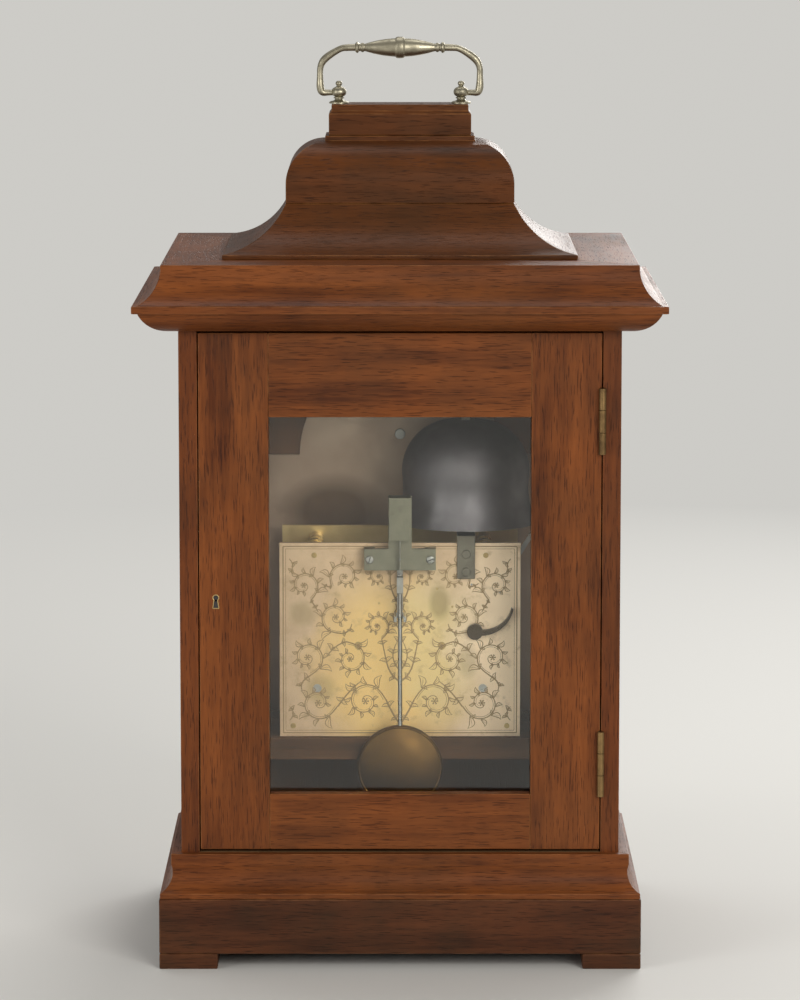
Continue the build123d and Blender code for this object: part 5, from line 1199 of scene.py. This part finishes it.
def screws(name, body, places, radius, proud):
    """Screw heads, each at (place, direction it looks in), and their slots as black bars of painted shade, as two
    pieces.
    """
    size = Matrix.Diagonal((radius * MM, proud * MM, radius * MM, 1))
    for pattern, end, material, smooth in ((HEAD, "", None, 40), (SLOT, "_slots", BLACK_WAX_AND_SHADE, 35)):
        copies = []
        for number, (place, looks) in enumerate(places):
            copy = copy_of(pattern)
            copy.matrix_world = (Matrix.Translation(place) @ Matrix.Rotation(LOOKING[looks], 4, "Z")
                                 @ Matrix.Rotation(0.4 + 0.9 * number, 4, "Y") @ size @ pattern.matrix_world)
            copies.append(settled())
        painted(joined(copies), name + end, body, "steel", material, smooth)


LEAF_SCREW_PITCH, HINGE_HEIGHTS = 11.5 * MM, mm([112.5, 301.5])
BACK_LEAF_INSET, FRONT_LEAF_INSET, LEAF_GAP = mm([5.0, 9.0, 0.6])
COCK_SCREW_INSET, COCK_SCREW_HEIGHT, COCK_FOOT = mm([3.0, 6.0, 10.0])


def leaf_screws(x, y, looks):
    """Three screws down the middle of each of two hinge leaves."""
    return [((x, y, height + step * LEAF_SCREW_PITCH), looks) for height in HINGE_HEIGHTS for step in (-1, 0, 1)]


cock_low, cock_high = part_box("back_cock")
back_frame_low, back_frame_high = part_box("back_door_frame")
front_frame_low, front_frame_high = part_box("front_door_frame")
cock_screw = (cock_high.x - COCK_SCREW_INSET, PLATE_HIGH.y + COCK_FOOT, cock_low.z + COCK_SCREW_HEIGHT)
screws("back_cock_screws", "case", [((side * cock_screw[0], *cock_screw[1:]), "y") for side in (-1, 1)], 2.3, 1.0)
leaf_y = back_frame_high.y - BACK_LEAF_INSET
leaf_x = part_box("front_door_hinge_leaves")[1].x - FRONT_LEAF_INSET
back_case = leaf_screws(back_frame_low.x - LEAF_GAP, leaf_y, "x")
front_case = leaf_screws(leaf_x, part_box("case_sides")[0].y, "-y")
for name, body, places in (
        ("case_hinge_screws", "case", back_case[:3] + front_case[:3] + back_case[3:] + front_case[3:]),
        ("back_door_hinge_screws", "back_door", leaf_screws(back_frame_low.x, leaf_y, "-x")),
        ("front_door_hinge_screws", "front_door", leaf_screws(leaf_x, front_frame_high.y, "y"))):
    screws(name, body, places, 1.9, 0.12)
remove(HEAD)
remove(SLOT)


# Plain fittings: their arrises eased, in mm
for node, edge in (("back_cock", 0.5), ("bell_stand", 0.3), ("hammer_spring", 0.3), ("front_plate", 0.25),
                   ("plate_pillars", 0.2), ("barrel_arbors", 0.15), ("dial_plate", 0.2), ("suspension_spring", 0.08),
                   ("pendulum_rod", 0.12), ("rating_nut", 0.2), ("bell_hammer", 0.2), ("pallets", 0.12),
                   ("front_door_sight_ring", 0.35), ("case_hinge_leaves", 0.12), ("back_door_hinge_leaves", 0.12),
                   ("front_door_hinge_leaves", 0.12), ("front_door_lock", 0.25), ("back_door_lock", 0.25),
                   ("front_door_bolt", 0.25), ("back_door_bolt", 0.25)):
    fitting(node, edge)

# Pendulum bob: a turned lens with a thin rim
bob_low, bob_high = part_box("pendulum_bob")
bob_radius, bob_half = (bob_high.x - bob_low.x) / 2, (bob_high.y - bob_low.y) / 2
BOB_SWELL = 0.9 * MM
BOB_RIM = [(along, bob_radius - inset) for along, inset in mm([(1.6, 1.6), (1.9, 1.1), (1.6, 0.4), (0.9, 0)])]
lens = arc_through((bob_half, 0), (bob_half - BOB_SWELL, bob_radius * 0.5), BOB_RIM[0], 14) + BOB_RIM[1:]
lens += [(-along, radius) for along, radius in reversed(lens)]
made_for(turned(lens, (bob_low + bob_high) / 2, "y", 96), "pendulum_bob", smooth=40)


# Keyholes of the two doors
KEYHOLE = arc_through((1.0, -0.9), (0, 2.1), (-1.0, -0.9), 9) + [(-1.7, -5.4), (1.7, -5.4), (1.0, -0.9)]
KEYHOLE_EYE, KEYHOLE_SLOT, KEYHOLE_DEPTH, LINING_WIDTH, LINING_DEPTH = mm([1.75, 2.4, 0.06, 0.55, 0.3])
EYE_HEIGHT, SLOT_TOP, SLOT_FOOT, BACK_LOCK_INSET, BACK_LOCK_DROP = mm([0.2, -0.6, -5.3, 9.0, 4.0])


def keyhole(name, body, x, face, z):
    """A brass keyhole lining let into the wood, with a black disc and slot inside it painted as the hole's shade."""
    places = [(x + across * MM, z + height * MM) for across, height in KEYHOLE]
    rim = [ribbon([start, ((start[0] + end[0]) / 2, (start[1] + end[1]) / 2), end], [LINING_WIDTH] * 3, face,
                  LINING_DEPTH, 1, 1) for start, end in zip(places, places[1:])]
    painted(joined(rim), name, body, "polished_brass", smooth=60)
    # Painted shade: a black disc and bar stand for the dark inside of the hole
    bpy.ops.mesh.primitive_cylinder_add(vertices=24, radius=KEYHOLE_EYE, depth=2 * KEYHOLE_DEPTH,
                                        location=(x, face, z + EYE_HEIGHT), rotation=(pi / 2, 0, 0))
    eye = bpy.context.object
    slot = stroke((x, z + SLOT_TOP), (x, z + SLOT_FOOT), KEYHOLE_SLOT, face, KEYHOLE_DEPTH)
    painted(joined([eye, slot]), name + "_hole", body, "polished_brass", BLACK_WAX_AND_SHADE)


back_lock_low, back_lock_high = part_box("back_door_lock")
front_lock_low, front_lock_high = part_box("front_door_lock")
keyhole("back_door_keyhole", "back_door", back_lock_high.x - BACK_LOCK_INSET, back_frame_high.y,
        (back_lock_low.z + back_lock_high.z) / 2 - BACK_LOCK_DROP)
keyhole("front_door_keyhole", "front_door", (front_lock_low.x + front_lock_high.x) / 2, front_frame_low.y,
        (front_lock_low.z + front_lock_high.z) / 2)


# Floor that fades into the backdrop, and the world
BACKDROP = (0.61, 0.6, 0.57)
FLOOR_SIZE, FLOOR_FADE_START, FLOOR_FADE_END = 60.0, 0.45, 1.7


def pale_floor():
    """A wide pale floor whose far part glows like the backdrop."""
    material, shader, place = new_material("pale_floor", Base_Color=(0.76, 0.755, 0.725), Roughness=0.7)
    far = span(vectors("LENGTH", place), FLOOR_FADE_START, FLOOR_FADE_END)
    shaded(material, far, shader, add("Emission", tree=material.node_tree, Color=BACKDROP, Strength=1.0))
    bpy.ops.mesh.primitive_plane_add(size=FLOOR_SIZE, location=(0, 0, 0))
    floor = bpy.context.object
    floor.name = "floor"
    floor.data.materials.append(material)


def studio_world():
    """The backdrop where it is seen, and a softer fill light elsewhere."""
    world = bpy.context.scene.world = bpy.data.worlds.new("studio")
    world.use_nodes = True
    tree = world.node_tree
    tree.nodes.clear()
    seen = add("LightPath", tree=tree).outputs
    shown = plus(seen["Is Camera Ray"], seen["Is Transmission Ray"], clamp=True)
    backdrop = add("Background", tree=tree, Color=BACKDROP, Strength=1.0)
    fill = add("Background", tree=tree, Color=(1.0, 0.98, 0.95), Strength=0.3)
    chosen = add("MixShader", shown, fill.outputs[0], backdrop.outputs[0])
    add("OutputWorld", Surface=chosen.outputs[0])


def soft_light(name, place, target, size, power, colour=(1, 1, 1)):
    bpy.ops.object.light_add(type="AREA", location=place)
    lamp = bpy.context.object
    lamp.name = name
    lamp.data.shape = "RECTANGLE"
    lamp.data.size, lamp.data.size_y = size
    lamp.data.energy = power
    lamp.data.color = colour
    lamp.rotation_euler = (Vector(target) - Vector(place)).to_track_quat("-Z", "Y").to_euler()


pale_floor()
studio_world()
soft_light("back_key", (-1.1, 2.3, 1.15), (0, 0, 0.25), (1.3, 1.1), 36.0, (1.0, 0.98, 0.94))
soft_light("back_fill", (1.7, 1.5, 0.7), (0, 0, 0.25), (1.0, 1.2), 14.0, (1.0, 0.99, 0.97))
soft_light("top", (0.0, -0.5, 2.2), (0, 0, 0.3), (1.8, 0.8), 10.0)
soft_light("dial_side", (-0.9, -2.2, 1.1), (0, 0, 0.25), (1.4, 1.2), 32.0, (1.0, 0.98, 0.95))

# The photograph's camera stands behind the clock, a little above its middle
PHOTO_HEIGHT, FOCAL_PIXELS, SENSOR = 1000, 4630, 36.0
CAMERA_PLACE, CAMERA_PITCH_DOWN = (0.0, 2.585, 0.614), 8.13
bpy.ops.object.camera_add(location=CAMERA_PLACE, rotation=(radians(90 - CAMERA_PITCH_DOWN), 0, pi))
camera = bpy.context.object
camera.data.sensor_fit = "VERTICAL"
camera.data.sensor_height = SENSOR
camera.data.lens = SENSOR * FOCAL_PIXELS / PHOTO_HEIGHT
bpy.context.scene.camera = camera
bpy.context.scene.view_settings.view_transform = "Standard"
